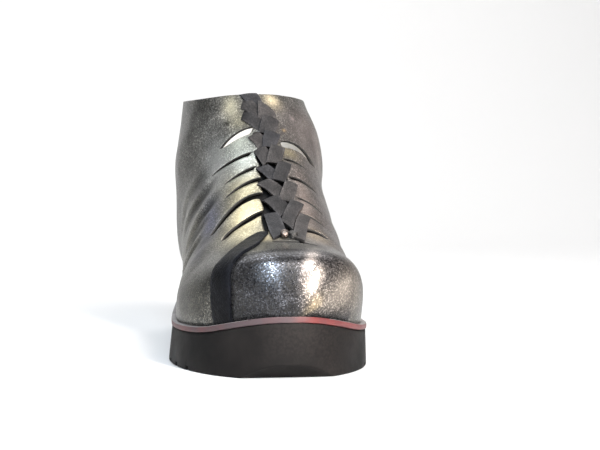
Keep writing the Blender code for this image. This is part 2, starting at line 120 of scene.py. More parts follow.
def sole_half(side, station, inset):
    """Half width of the sole's outline, drawn in by inset, on the lateral (-1) or medial (1) side."""
    wide = smooth_curve(SOLE_STATIONS, [row[1 if side < 0 else 2] for row in SOLE_ROWS], station)
    toe = round_end(station - inset, TOE_REACH, TOE_POWER)
    heel = round_end(SOLE_LENGTH - inset - station, HEEL_REACH, HEEL_POWER)
    return (wide - inset) * toe * heel


def welt_top(station):
    station = min(max(station, 0.0), SOLE_LENGTH)
    return smooth_curve(SOLE_STATIONS, [row[3] for row in SOLE_ROWS], station)


def tread_height(station, grooved=True):
    """Height of the tread: bevelled ends, flat forefoot and heel, raised arch between, and cut grooves."""
    if station < TOE_BEVEL:
        return TOE_BEVEL_RISE * (1.0 - station / TOE_BEVEL)
    if station > SOLE_LENGTH - HEEL_BEVEL:
        return HEEL_BEVEL_RISE * (1.0 - (SOLE_LENGTH - station) / HEEL_BEVEL)
    if 0.0 < station - ARCH_FROM < ARCH_LENGTH:
        return ARCH_RISE * math.sin(math.pi * (station - ARCH_FROM) / ARCH_LENGTH) ** 2
    if grooved and any(abs(station - groove) < GROOVE_WIDTH / 2 for groove in TREAD_GROOVES):
        return GROOVE_DEPTH
    return 0.0


def place(x, station, z):
    """A point of the shoe in metres, from millimetres across, behind the toe tip, and up."""
    return Vector(((x - ACROSS_CENTRE) * MM, (station - SOLE_LENGTH / 2) * MM, z * MM))


def sole_layer(stations, across, levels):
    """A layer of the sole: a grid on its outline, extruded up through levels.

    Each level is a function of side, station and share across that gives a half width and a height.
    """
    layer = bmesh.new()
    share_of = layer.verts.layers.float.new("share")
    station_of = layer.verts.layers.float.new("station")
    bmesh.ops.create_grid(layer, x_segments=across, y_segments=len(stations) - 1, size=1.0)
    for vert in layer.verts:
        vert[share_of] = math.sin(vert.co.x * math.pi / 2)
        vert[station_of] = stations[round((vert.co.y + 1.0) / 2.0 * (len(stations) - 1))]
    cap = list(layer.verts)
    for number, level in enumerate(levels):
        if number:
            raised = bmesh.ops.extrude_face_region(layer, geom=cap_faces)
            cap = [item for item in raised["geom"] if isinstance(item, bmesh.types.BMVert)]
            old = [face for face in cap_faces if face.is_valid]
            if number > 1:
                bmesh.ops.delete(layer, geom=old, context="FACES_ONLY")
            cap_faces = [item for item in raised["geom"] if isinstance(item, bmesh.types.BMFace)]
        else:
            cap_faces = list(layer.faces)
        for vert in cap:
            share, station = vert[share_of], vert[station_of]
            half, height = level(-1 if share < 0 else 1, station, abs(share))
            vert.co = place(share * half, station, height)
    bmesh.ops.remove_doubles(layer, verts=layer.verts, dist=0.000004)
    bmesh.ops.recalc_face_normals(layer, faces=layer.faces)
    return layer


def add_piece(name, shape, finishes, node=None, sharp=40.0):
    """Makes a piece of a bmesh, gives it its materials, and hangs it on the shoe."""
    mesh = bpy.data.meshes.new(name)
    shape.to_mesh(mesh)
    shape.free()
    for finish in finishes:
        mesh.materials.append(finish)
    mesh.shade_smooth()
    mesh.set_sharp_from_angle(angle=math.radians(sharp))
    piece = bpy.data.objects.new(name, mesh)
    bpy.context.scene.collection.objects.link(piece)
    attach(piece, "root")
    if node:
        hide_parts(node)
    return piece


def new_finish(name):
    """A material with only its shader and its output."""
    finish = bpy.data.materials.new(name)
    finish.use_nodes = True
    return finish, finish.node_tree, finish.node_tree.nodes["Principled BSDF"]


def feed(tree, node, inputs):
    """Sets a node's inputs to values, or links them to the outputs of other nodes."""
    for key, value in inputs.items():
        socket = node.inputs[key]
        if isinstance(value, bpy.types.NodeSocket):
            tree.links.new(value, socket)
        else:
            socket.default_value = (*value, 1.0) if socket.type == "RGBA" else value


def add_node(tree, kind, inputs=None, **settings):
    """A shader node with its settings and its inputs."""
    made = tree.nodes.new(kind)
    for key, value in settings.items():
        setattr(made, key, value)
    feed(tree, made, inputs or {})
    return made


def ramp(tree, source, stops):
    """A colour ramp over a value, with (position, grey or colour) stops."""
    made = add_node(tree, "ShaderNodeValToRGB", {"Fac": source})
    elements = made.color_ramp.elements
    while len(elements) < len(stops):
        elements.new(0.5)
    for element, (position, colour) in zip(elements, stops):
        element.position = position
        element.color = (*colour, 1.0) if isinstance(colour, tuple) else (colour, colour, colour, 1.0)
    return made.outputs["Color"]


def mix_colour(tree, share, one, two, blend="MIX"):
    """One colour turning into another by a share."""
    inputs = {0: share, 6: one, 7: two}
    return add_node(tree, "ShaderNodeMix", inputs, data_type="RGBA", blend_type=blend).outputs[2]


def maths(tree, operation, *values, clamp=False):
    """The result of a sum on values."""
    inputs = dict(enumerate(values))
    return add_node(tree, "ShaderNodeMath", inputs, operation=operation, use_clamp=clamp).outputs[0]


def map_range(tree, value, low, high, to_low=0.0, to_high=1.0):
    """A value carried from one range to another."""
    inputs = {"Value": value, "From Min": low, "From Max": high, "To Min": to_low, "To Max": to_high}
    return add_node(tree, "ShaderNodeMapRange", inputs).outputs[0]


def bump(tree, height, strength, depth, under=None):
    """A normal raised by a height value, depth in metres, over another normal where one is given."""
    inputs = {"Height": height, "Strength": strength, "Distance": depth}
    if under:
        inputs["Normal"] = under
    return add_node(tree, "ShaderNodeBump", inputs).outputs[0]


def surface_noise(tree, scale, detail=4.0, roughness=0.55, stretch=None):
    """A noise value over a piece's own coordinates, with about scale cells to a metre."""
    place_in = add_node(tree, "ShaderNodeTexCoord").outputs["Object"]
    if stretch:
        place_in = add_node(tree, "ShaderNodeMapping", {"Vector": place_in, "Scale": stretch}).outputs[0]
    inputs = {"Vector": place_in, "Scale": scale, "Detail": detail, "Roughness": roughness}
    return add_node(tree, "ShaderNodeTexNoise", inputs).outputs["Fac"]


def cloudy_finish(name, dark, light, patches, roughness, detail=4.0):
    """A dull material whose colour drifts between two tones, with about so many patches to a metre."""
    finish, tree, shader = new_finish(name)
    tone = ramp(tree, surface_noise(tree, patches, detail), [(0.3, dark), (0.75, light)])
    feed(tree, shader, {"Base Color": tone, "Roughness": roughness})
    return finish, tree, shader


def napped_finish(pitch, depth, *cloudy):
    """A cloudy material with a fine nap, pitch cells to a metre and depth in metres."""
    finish, tree, shader = cloudy_finish(*cloudy)
    feed(tree, shader, {"Normal": bump(tree, surface_noise(tree, pitch), 0.3, depth)})
    return finish


def rubber_finish():
    """Matte black rubber, browner and paler where dust has settled in soft patches broken up by specks."""
    finish, tree, shader = new_finish("moulded_rubber")
    tone = ramp(
        tree, surface_noise(tree, 35.0), [(0.3, (0.006, 0.0056, 0.0056)), (0.72, (0.014, 0.0125, 0.012))]
    )
    patches = map_range(tree, surface_noise(tree, 18.0, 5.0, 0.5), 0.42, 0.75)
    specks = map_range(tree, surface_noise(tree, 700.0, 2.0, 0.5), 0.35, 0.7)
    dust = maths(tree, "MULTIPLY", maths(tree, "MULTIPLY", patches, specks), 0.45)
    feed(tree, shader, {
        "Base Color": mix_colour(tree, dust, tone, (0.045, 0.036, 0.032)),
        "Specular IOR Level": 0.1,
        "Roughness": ramp(tree, surface_noise(tree, 60.0), [(0.3, 0.5), (0.7, 0.68)]),
        "Normal": bump(tree, surface_noise(tree, 1400.0, 3.0), 0.16, 0.0004),
    })
    return finish


def sole_stations(inset, count, grooves=False):
    """Stations along a layer, close together at its round ends and at the walls of the grooves."""
    middle, half = SOLE_LENGTH / 2, SOLE_LENGTH / 2 - inset
    stations = [middle - half * math.cos(math.pi * i / count) for i in range(count + 1)]
    stations[0] += HAIR
    stations[-1] -= HAIR
    if grooves:
        for groove in TREAD_GROOVES:
            for wall in (-1, 1):
                edge = groove + wall * GROOVE_WIDTH / 2
                stations += [edge - GROOVE_WALL, edge + GROOVE_WALL]
        stations += [TOE_BEVEL - HAIR, SOLE_LENGTH - HEEL_BEVEL - HAIR]
    return sorted(stations)


def outsole_level(share_up, draw_in):
    """A level of the rubber wall: its share of the way up, and how far it is drawn in at a rounded edge."""
    def level(side, station, share):
        low, high = tread_height(station, False), welt_top(station) - WELT_THICK - PIECE_GAP
        height = max(low + (high - low) * share_up, tread_height(station) + GROOVE_FADE * share_up)
        flare = (LATERAL_FLARE if side < 0 else MEDIAL_FLARE) * (high - height) / (high - low)
        return max(sole_half(side, station, 0.0) + flare - draw_in, LEAST_HALF), height
    return level


OUTSOLE_LEVELS = (
    # share of the way up, and how far the wall is drawn in
    (0.0, 0.9),
    (0.012, 0.4),
    (0.035, 0.08),
    (0.07, 0.0),
    (0.3, 0.0),
    (0.6, 0.0),
    (0.93, 0.0),
    (0.975, 0.15),
    (1.0, 0.6),
)
outsole = sole_layer(
    sole_stations(0.0, 120, grooves=True), 20, [outsole_level(*row) for row in OUTSOLE_LEVELS]
)
add_piece("outsole_rubber", outsole, [rubber_finish()], "outsole")


# Welt layer
# A thin layer of grey leather between the rubber and the upper, standing a little proud all round.
# Its cut edge is painted red and turns grey in places.

WELT_OUTSET = 0.5
WELT_LEVELS = (
    # depth below its top, and how far the edge is drawn in
    (WELT_THICK, 0.35),
    (WELT_THICK - 0.3, 0.05),
    (WELT_THICK - 0.9, 0.0),
    (0.8, 0.0),
    (0.25, 0.1),
    (0.0, 0.5),
)
EDGE_GREYING = (
    # share of the way across the toe from its lateral side, and how far the paint turns greyish mauve there
    (0.0, 0.45),
    (0.12, 0.60),
    (0.28, 0.85),
    (0.52, 0.85),
    (0.62, 0.0),
    (0.82, 0.05),
    (1.0, 0.55),
)


def painted_edge_finish():
    """Red edge paint, red over the medial side of the toe and greyish mauve elsewhere, in noisy patches."""
    finish, tree, shader = new_finish("red_edge_paint")
    point = add_node(tree, "ShaderNodeTexCoord").outputs["Object"]
    across = add_node(tree, "ShaderNodeSeparateXYZ", {0: point}).outputs["X"]
    placed_grey = ramp(tree, map_range(tree, across, -0.05, 0.05), EDGE_GREYING)
    noisy = ramp(tree, surface_noise(tree, 42.0, 6.0, 0.65, (1.0, 1.0, 0.25)), [(0.40, -0.35), (0.62, 0.35)])
    greyed = maths(tree, "ADD", placed_grey, noisy, clamp=True)
    red = ramp(tree, surface_noise(tree, 90.0), [(0.3, (0.11, 0.016, 0.016)), (0.75, (0.20, 0.034, 0.030))])
    feed(tree, shader, {
        "Base Color": mix_colour(tree, greyed, red, (0.062, 0.042, 0.046)),
        "Roughness": ramp(tree, greyed, [(0.0, 0.40), (1.0, 0.62)]),
        "Normal": bump(tree, surface_noise(tree, 700.0), 0.25, 0.0003),
    })
    return finish


def welt_level(drop, draw_in):
    def level(side, station, share):
        half = sole_half(side, station, -WELT_OUTSET) - draw_in
        return max(half, LEAST_HALF), welt_top(station) - drop
    return level


welt = sole_layer(sole_stations(-WELT_OUTSET, 110), 20, [welt_level(*row) for row in WELT_LEVELS])
for face in welt.faces:
    if face.normal.z > 0.75:
        face.material_index = 1
welt_top_finish = napped_finish(
    900.0, 0.0003, "grey_welt_leather", (0.14, 0.128, 0.126), (0.27, 0.25, 0.245), 120.0, 0.6
)
add_piece("welt_layer", welt, [painted_edge_finish(), welt_top_finish], "midsole")


# Footbed
# A soft insole covered in plain leather, a little dished under the heel. It is cut to the inside of the
# upper and glued down on the welt layer.

FOOTBED_INSET = 6.0
HEEL_DISH = 1.2
HEEL_DISH_FROM = 190.0
HEEL_DISH_EASE = 50.0
FOOTBED_LEVELS = (
    # height above its underside, how far the edge is drawn in, and whether the heel is dished
    (0.0, 0.2, False),
    (0.4, 0.0, False),
    (2.2, 0.0, False),
    (2.8, 0.5, False),
    (3.0, 1.4, True),
)


def footbed_level(up, draw_in, dished):
    def level(side, station, share):
        dish = HEEL_DISH * ease((station - HEEL_DISH_FROM) / HEEL_DISH_EASE) * (1.0 - share ** 2)
        half = sole_half(side, station, FOOTBED_INSET) - draw_in
        return max(half, LEAST_HALF), welt_top(station) + PIECE_GAP + up - dish * dished
    return level


footbed = sole_layer(sole_stations(FOOTBED_INSET, 70), 16, [footbed_level(*row) for row in FOOTBED_LEVELS])
footbed_finish = napped_finish(
    1100.0, 0.0004, "footbed_leather", (0.36, 0.31, 0.25), (0.5, 0.45, 0.38), 60.0, 0.7, 5.0
)
add_piece("footbed", footbed, [footbed_finish], "insole")


# Upper
# One skin of foil-coated leather drawn over the last: gunmetal on the toe, pale gold where it is cut into
# strips beside the braid. Its edges are cut raw, it is lined with pale leather, and it is lasted under.
# Highlights, reflections and shade in the creases are painted into the foil's tone, and the cut edges are
# darkened as painted shade in the slits.

SECTION_ROWS = (
    # ridge station and height, base station and height (0 for the welt), half widths lateral and medial,
    # share of the height where it is widest, powers of the upper and lower curves, lean, dip
    (2.2, 0.0, 4.0, 0.0, 7.5, 7.4, 0.45, 2.0, 1.0, 0.0, 0.0),
    (1.8, 37.0, 6.0, 0.0, 15.2, 14.8, 0.35, 2.2, 2.0, 0.5, 0.0),
    (2.4, 46.0, 9.0, 0.0, 20.5, 20.0, 0.35, 2.4, 2.0, 1.0, 0.0),
    (4.6, 54.2, 14.0, 0.0, 26.6, 26.0, 0.35, 2.7, 2.0, 1.5, 0.0),
    (9.0, 59.2, 20.0, 0.0, 32.0, 31.3, 0.35, 2.9, 2.0, 2.0, 0.0),
    (17.0, 61.5, 29.0, 0.0, 37.8, 36.7, 0.31, 2.8, 2.0, 2.5, 0.0),
    (28.0, 62.3, 40.0, 0.0, 42.6, 40.8, 0.27, 2.6, 2.0, 3.0, 0.0),
    (41.0, 63.4, 54.0, 0.0, 46.4, 43.8, 0.22, 2.4, 2.0, 3.4, 0.0),
    (55.0, 66.0, 68.0, 0.0, 48.4, 44.6, 0.20, 2.2, 2.0, 3.8, 0.0),
    (70.0, 72.2, 85.0, 0.0, 48.4, 44.8, 0.20, 2.1, 2.0, 4.5, 0.0),
    (77.0, 76.3, 102.0, 0.0, 46.1, 44.7, 0.22, 2.0, 2.0, 4.8, 0.0),
    (83.0, 80.5, 121.0, 0.0, 43.9, 44.5, 0.25, 2.0, 2.0, 5.0, 0.0),
    (89.0, 85.1, 142.0, 0.0, 41.9, 44.2, 0.29, 2.0, 2.0, 5.0, 0.0),
    (95.0, 90.0, 165.0, 0.0, 40.4, 43.6, 0.33, 2.0, 2.0, 5.0, 0.0),
    (100.5, 95.0, 190.0, 0.0, 39.5, 42.9, 0.37, 2.0, 2.0, 4.8, 0.0),
    (106.0, 100.4, 213.0, 0.0, 38.6, 42.2, 0.42, 2.0, 2.1, 4.5, 0.0),
    (111.0, 105.7, 233.0, 0.0, 37.8, 41.8, 0.45, 2.0, 2.3, 4.2, 0.0),
    (115.5, 110.7, 248.5, 0.0, 37.8, 42.0, 0.47, 2.0, 2.4, 3.8, 0.0),
    (119.0, 114.9, 258.5, 0.0, 38.0, 42.8, 0.48, 2.0, 2.5, 3.5, 0.0),
    (121.9, 118.5, 263.8, 0.0, 38.0, 43.4, 0.49, 2.0, 2.6, 3.2, 0.0),
    (124.5, 121.8, 265.8, 0.0, 38.1, 43.8, 0.50, 2.0, 2.6, 2.9, 0.0),
    (127.0, 125.1, 266.3, 40.0, 38.3, 44.4, 0.50, 2.0, 2.6, 2.6, 0.0),
    (129.4, 128.2, 266.6, 48.0, 39.0, 45.2, 0.50, 2.0, 2.6, 2.2, 0.0),
    (131.7, 131.2, 266.5, 61.0, 40.0, 45.1, 0.50, 2.0, 2.6, 1.8, 0.3),
    (133.9, 134.0, 265.4, 79.0, 39.7, 43.4, 0.50, 2.1, 2.5, 1.3, 0.9),
    (135.9, 136.6, 262.9, 99.0, 37.8, 40.7, 0.50, 2.15, 2.45, 0.9, 1.6),
    (137.6, 138.8, 259.4, 120.0, 36.0, 37.3, 0.50, 2.2, 2.4, 0.4, 2.3),
    (139.0, 140.5, 256.0, 141.0, 34.9, 34.0, 0.50, 2.3, 2.3, 0.0, 3.0),
)
HEEL_ROWS = (
    # height, station of the heel's back, half widths lateral and medial, reach of its round
    (36.0, 265.8, 31.6, 33.7, 34.0),
    (48.0, 266.6, 35.2, 38.5, 36.0),
    (62.0, 266.5, 37.3, 42.0, 42.0),
    (80.0, 265.3, 38.3, 44.2, 50.0),
    (102.0, 262.5, 39.6, 45.0, 58.0),
    (122.0, 259.0, 37.0, 40.5, 60.0),
    (142.0, 255.8, 34.9, 34.0, 60.0),
)
HEEL_SECTION = 20.0
HEEL_FROM = 180.0
HEEL_EASE = 45.0
LASTED_INSET = 2.2
LASTED_TURN = 0.97
LAST_SECTION = len(SECTION_ROWS) - 1
WIDEST_TURN = 0.64


def section_columns():
    """The section table by column, with the welt's height filled in where a height is 0."""
    columns = [list(column) for column in zip(*SECTION_ROWS)]
    for station, height in ((0, 1), (2, 3)):
        for i, value in enumerate(columns[height]):
            if value == 0.0:
                columns[height][i] = welt_top(columns[station][i]) + PIECE_GAP
    return columns


SECTIONS = section_columns()
HEELS = [list(column) for column in zip(*HEEL_ROWS)]


def between(values, position):
    """Value at a fractional row of a list, smooth through its rows."""
    last = len(values) - 1
    row = min(max(int(position), 0), last - 1)
    t = position - row
    a, b = values[max(row - 1, 0)], values[row]
    c, d = values[row + 1], values[min(row + 2, last)]
    square, cube = 2 * a - 5 * b + 4 * c - d, 3 * b - a - 3 * c + d
    return 0.5 * (2 * b + (c - a) * t + square * t * t + cube * t ** 3)


def heel_half(side, station, height):
    back, wide, reach = (smooth_curve(HEELS[0], HEELS[i], height) for i in (1, 2 if side < 0 else 3, 4))
    return wide * round_end(back - station, reach, HEEL_POWER)


def last_point(section, turn):
    """Point of the last's surface, in millimetres: section 0 at the toe tip to the last at the collar, turn
    from -1 at the lateral welt over 0 at the instep ridge to 1 at the medial welt."""
    (ridge_s, ridge_z, base_s, base_z, lateral, medial, peak, crown, lower, lean, dip) = (
        between(column, section) for column in SECTIONS
    )
    side = -1 if turn < 0 else 1
    wide = lateral if side < 0 else medial
    share = min(abs(turn), 1.0)
    if share <= WIDEST_TURN:
        angle = (1.0 - share / WIDEST_TURN) * math.pi / 2
        rise = peak + (1.0 - peak) * math.sin(angle) ** (2.0 / crown)
        across = wide * max(math.cos(angle), 0.0) ** (2.0 / crown)
    else:
        foot = sole_half(side, base_s, LASTED_INSET) if section < HEEL_SECTION else 0.0
        angle = (share - WIDEST_TURN) / (1.0 - WIDEST_TURN) * math.pi / 2
        rise = peak * (1.0 - math.sin(angle) ** (2.0 / lower))
        across = foot + (wide - foot) * max(math.cos(angle), 0.0) ** (2.0 / lower)
    station = base_s + (ridge_s - base_s) * rise
    height = base_z + (ridge_z - base_z) * rise
    if share > 0.999 and section >= HEEL_SECTION:
        across = 0.0
    elif station > HEEL_FROM:
        across += (heel_half(side, station, height) - across) * ease((station - HEEL_FROM) / HEEL_EASE)
    height -= dip * (1.0 - (2.0 * rise - 1.0) ** 4)
    return Vector((side * across + lean * rise ** 2, station, height))


SLIT_ROWS = (
    # section and turn of its inner end at the braid and of its outer end, the widest gap,
    # the cut's bow, and how blunt its outer end is
    (10.5, -0.03, 8.6, -0.255, 2.5, 0.45, 7.0),
    (12.2, -0.025, 10.4, -0.345, 2.6, 0.85, 7.0),
    (14.0, -0.035, 13.3, -0.27, 1.6, 0.2, 2.0),
    (15.2, -0.07, 14.6, -0.27, 1.3, 0.1, 2.0),
    (16.7, -0.085, 16.3, -0.35, 1.3, 0.05, 2.0),
    (19.8, -0.05, 18.9, -0.265, 2.9, 0.35, 2.8),
    (7.3, -0.045, 6.8, 0.135, 1.9, 0.15, 2.8),
    (8.6, 0.1, 8.6, 0.25, 2.2, 0.1, 2.8),
    (10.3, 0.105, 10.0, 0.26, 0.8, 0.2, 2.8),
    (12.1, 0.1, 11.6, 0.27, 0.8, 0.25, 2.8),
    (14.2, 0.085, 13.8, 0.275, 1.2, 0.2, 2.8),
    (16.0, 0.075, 15.8, 0.225, 0.8, 0.1, 2.8),
    (17.7, 0.075, 17.2, 0.32, 2.9, 0.6, 4.5),
)
Slit = namedtuple("Slit", "in_section in_turn out_section out_turn gap bow blunt")
SLITS = [Slit(*row) for row in SLIT_ROWS]
SLIT_OPENS = 0.12
SLIT_MARGIN = 0.002
LIP_SECTIONS = 2.5
LIP_PULL = 2.4
LIP_ROLL = 1.7
LIP_MOST = 1.2
LIP_CURL = 0.45
LIP_DROP = 0.5
OPENING_FROM = 8.4
OPENING_TO = 19.4
OPENING_LATERAL = -0.064
OPENING_MEDIAL = 0.075
OPENING_TAPER = 0.03
TAPER_FROM = 15.0
TAPER_EASE = 3.0
STRIP_SLANT = 0.026
SLANT_REACH = 0.035
ROWS_PER_SECTION = 8
TURNS_TO_WIDEST = 60
TURNS_BELOW = 22


def skin_turns():
    half = [WIDEST_TURN * i / TURNS_TO_WIDEST for i in range(TURNS_TO_WIDEST)]
    half += [WIDEST_TURN + (1.0 - WIDEST_TURN) * i / TURNS_BELOW for i in range(TURNS_BELOW + 1)]
    return [-turn for turn in reversed(half[1:])] + half


def slit_share(slit, turn):
    return (turn - slit.in_turn) / (slit.out_turn - slit.in_turn)


def slit_section(slit, turn):
    share = slit_share(slit, turn)
    bow = slit.bow * 4.0 * share * (1.0 - share) if 0.0 < share < 1.0 else 0.0
    return slit.in_section + (slit.out_section - slit.in_section) * share + bow


def slit_half(slit, share):
    """Half gap of a slit: it opens quickly beside the braid and closes slowly to its outer end."""
    if share <= 0.0 or share >= 1.0:
        return 0.0
    return slit.gap * 0.7 * min(share / SLIT_OPENS, 1.0) ** 0.5 * (1.0 - share ** slit.blunt) ** 0.7


def cut_slit(skin, at, turns, slit, section_of, turn_of):
    """Cuts the skin along a slit: moves one or more vertices of each column onto it, and splits them."""
    low, high = sorted((slit.in_turn, slit.out_turn))
    columns = [i for i, turn in enumerate(turns) if low - SLIT_MARGIN <= turn <= high + SLIT_MARGIN]
    path = []
    row_before = None
    for column in columns:
        section = slit_section(slit, turns[column])
        row = round(section * ROWS_PER_SECTION)
        if row_before is not None:
            step = 1 if row > row_before else -1
            for skipped in range(row_before + step, row, step):
                vert = at[column, skipped]
                share = (skipped - row_before) / (row - row_before)
                vert[turn_of] = turns[column - 1] + (turns[column] - turns[column - 1]) * share
                vert[section_of] = slit_section(slit, vert[turn_of])
                path.append(vert)
        path.append(at[column, row])
        at[column, row][section_of] = section
        row_before = row
    edges = []
    for one, two in zip(path, path[1:]):
        edge = skin.edges.get((one, two))
        if edge is None:
            shared = next(face for face in one.link_faces if two in face.verts)
            bmesh.utils.face_split(shared, one, two)
            edge = skin.edges.get((one, two))
        edges.append(edge)
    bmesh.ops.split_edges(skin, edges=edges)


def slit_across(slit, section, turn):
    """Steps of section and turn that go 1 mm square to a slit, and how far 1 section goes that way."""
    near, beside = 0.1, 0.005
    by_section = (last_point(section + near, turn) - last_point(section - near, turn)) / (2 * near)
    by_turn = (last_point(section, turn + beside) - last_point(section, turn - beside)) / (2 * beside)
    slope = (slit_section(slit, turn + beside) - slit_section(slit, turn - beside)) / (2 * beside)
    along = by_section * slope + by_turn
    lean = by_section.dot(along) / along.length_squared
    rate = (by_section - along * lean).length
    return (1.0 - lean * slope) / rate, -lean / rate, rate


def open_slit(skin, slit, section_of, turn_of, lift_of):
    """Draws the two lips of a cut slit apart, and curls them in a little."""
    low, high = sorted((slit.in_turn, slit.out_turn))
    moves = []
    for vert in skin.verts:
        section, turn = vert[section_of], vert[turn_of]
        offset = section - slit_section(slit, turn)
        if not low < turn < high or abs(offset) >= LIP_SECTIONS:
            continue
        if abs(offset) < 0.0005:
            beside = [other for face in vert.link_faces for other in face.verts]
            above = sum(other[section_of] - slit_section(slit, other[turn_of]) for other in beside)
            side = 1.0 if above > 0 else -1.0
            offset = 0.0
        else:
            side = 1.0 if offset > 0 else -1.0
        to_section, to_turn, rate = slit_across(slit, section, turn)
        half = slit_half(slit, slit_share(slit, turn))
        distance = abs(offset) * rate
        shift = side * half * math.exp(-(distance / LIP_PULL) ** 2)
        lip = math.exp(-(distance / LIP_ROLL) ** 2) * min(half, LIP_MOST)
        moves.append((vert, shift * to_section, shift * to_turn, lip * (LIP_CURL * side - LIP_DROP)))
    for vert, along, around, lift in moves:
        vert[section_of] += along
        vert[turn_of] += around
        vert[lift_of] += lift


CREASES = (
    # section and turn where a soft crease starts and ends, its depth and its width
    (13.9, -0.29, 12.3, -0.62, 1.5, 2.6),
    (12.6, -0.35, 11.3, -0.68, 1.3, 2.2),
    (11.4, -0.38, 10.4, -0.66, 1.0, 2.0),
    (15.6, -0.31, 14.2, -0.68, 1.1, 2.6),
    (17.4, -0.36, 16.0, -0.70, 0.6, 3.4),
    (9.2, -0.40, 9.8, -0.80, 0.5, 3.0),
    (11.0, 0.34, 10.6, 0.70, 0.7, 3.2),
    (13.0, 0.36, 12.4, 0.70, 0.6, 3.4),
    (9.0, 0.36, 9.4, 0.74, 0.5, 3.0),
)
SECTION_STEP = 6.0
CREASE_WANDER = 0.18
CREASE_OVERRUN = 0.1
CREASE_FADE = 0.4
BROAD_WAVE, BROAD_PITCH = 0.45, 0.030
SMALL_WAVE, SMALL_PITCH = 0.16, 0.11
FINE_WAVE, FINE_PITCH = 0.012, 0.35


def crease_depth(section, turn):
    """Depth of the soft creases at a point of the leather, below zero on their raised sides."""
    total = 0.0
    for start_section, start_turn, end_section, end_turn, depth, width in CREASES:
        share = (turn - start_turn) / (end_turn - start_turn)
        before, after = share + CREASE_OVERRUN, 1.0 + CREASE_OVERRUN - share
        line = start_section + (end_section - start_section) * share
        line += CREASE_WANDER * math.sin(share * 5.0 + start_section)
        distance = (section - line) * SECTION_STEP
        if before > 0.0 and after > 0.0 and abs(distance) < 3.0 * width:
            fade = ease(before / CREASE_FADE) * ease(after / CREASE_FADE)
            beside = 0.5 * math.exp(-((distance - width * 1.4) / width) ** 2)
            total += depth * fade * (math.exp(-(distance / width) ** 2) - beside)
    return total


def leather_lift(section, turn, point):
    """How far the leather stands off the last: broad waves, fine unevenness and soft creases."""
    waves = BROAD_WAVE * noise.noise(point * BROAD_PITCH) + SMALL_WAVE * noise.noise(point * SMALL_PITCH)
    waves *= 0.12 * ease((section - 1.0) / 2.5) + 0.88 * ease((section - 5.0) / 3.5)
    return waves + FINE_WAVE * noise.noise(point * FINE_PITCH) - crease_depth(section, turn)


FOIL_TONES_AND_PAINTED_LIGHT = (
    # section and turn of a patch of foil tone or of painted light, its spread along and around, its colour,
    # and its strength
    (12.0, -0.66, 5.0, 0.26, (0.235, 0.222, 0.165), 0.8),
    (12.4, -0.34, 2.0, 0.06, (0.13, 0.14, 0.25), 0.9),
    (15.4, -0.29, 1.6, 0.05, (0.42, 0.39, 0.32), 0.75),
    # painted shade in the flex crease, navy
    (9.5, -0.39, 1.4, 0.06, (0.040, 0.040, 0.062), 0.9),
    (16.5, -0.42, 2.0, 0.05, (0.090, 0.088, 0.085), 0.7),
    # painted sheen across the lateral side
    (17.2, -0.29, 4.2, 0.085, (0.66, 0.67, 0.66), 0.85),
    # pale gold strips beside the braid: foil colour, brightened as painted reflection of the light above,
    # over these four patches
    (10.6, -0.15, 3.0, 0.10, (0.60, 0.54, 0.34), 0.95),
    (13.8, -0.16, 1.6, 0.09, (0.58, 0.53, 0.36), 0.9),
    (16.2, -0.15, 1.6, 0.08, (0.80, 0.86, 0.80), 0.9),
    (18.4, -0.16, 1.5, 0.08, (0.68, 0.73, 0.65), 0.85),
    # painted highlight, gold, at the collar's lateral side
    (24.5, -0.15, 2.4, 0.045, (0.66, 0.62, 0.46), 0.85),
    (21.6, -0.12, 1.2, 0.05, (0.50, 0.47, 0.34), 0.7),
    (25.2, 0.075, 1.8, 0.045, (0.90, 0.76, 0.50), 0.95),
    (12.0, 0.30, 8.0, 0.22, (0.29, 0.25, 0.24), 0.8),
    (11.6, 0.15, 3.4, 0.055, (0.58, 0.47, 0.42), 0.75),
    (21.5, 0.28, 4.0, 0.20, (0.47, 0.41, 0.39), 0.85),
    (16.8, 0.12, 0.6, 0.06, (0.56, 0.48, 0.30), 0.7),
    (8.4, 0.16, 0.6, 0.09, (0.46, 0.38, 0.28), 0.7),
    (7.8, -0.06, 0.5, 0.05, (0.60, 0.52, 0.34), 0.8),
    (6.2, -0.66, 2.0, 0.20, (0.095, 0.092, 0.074), 0.9),
    # painted reflection: the toe's lighter medial side
    (3.2, 0.56, 2.2, 0.20, (0.52, 0.45, 0.38), 0.85),
    # painted highlight on the toe, left of centre, bluish
    (2.9, -0.105, 1.4, 0.045, (0.28, 0.295, 0.335), 0.85),
    # painted highlight: the toe's upright streak, in this patch and the next
    (3.6, 0.075, 1.3, 0.042, (0.42, 0.37, 0.34), 0.95),
    (2.2, 0.180, 0.8, 0.070, (0.42, 0.37, 0.32), 0.95),
    # painted dark reflection between the two toe highlights
    (2.6, 0.015, 1.8, 0.040, (0.035, 0.037, 0.042), 0.85),
    # painted highlight: the gold foot of the toe's streak
    (1.0, 0.36, 0.7, 0.13, (0.41, 0.33, 0.22), 0.85),
    # painted glints, in this patch and the next
    (22.65, 0.170, 0.30, 0.011, (0.85, 0.70, 0.68), 0.95),
    (19.95, 0.108, 0.25, 0.010, (0.85, 0.62, 0.36), 0.95),
    # painted shade: a small dark hole, not cut in the leather
    (22.05, -0.195, 0.28, 0.010, (0.02, 0.02, 0.02), 0.98),
)
STRIP_TONE = Vector((0.220, 0.216, 0.200))
VAMP_TONE = Vector((0.235, 0.232, 0.215))
TOE_TONE = Vector((0.058, 0.060, 0.068))
CREASE_SHADE = 0.65
VAMP_ENDS, VAMP_EASE = 8.2, 1.2
TOE_ENDS, TOE_EASE = 5.35, 0.5
FOIL_WEAR = 0.66
TOE_WEAR = 0.2
BRIGHT_WEAR = -0.6
BRIGHT_FROM = 0.4


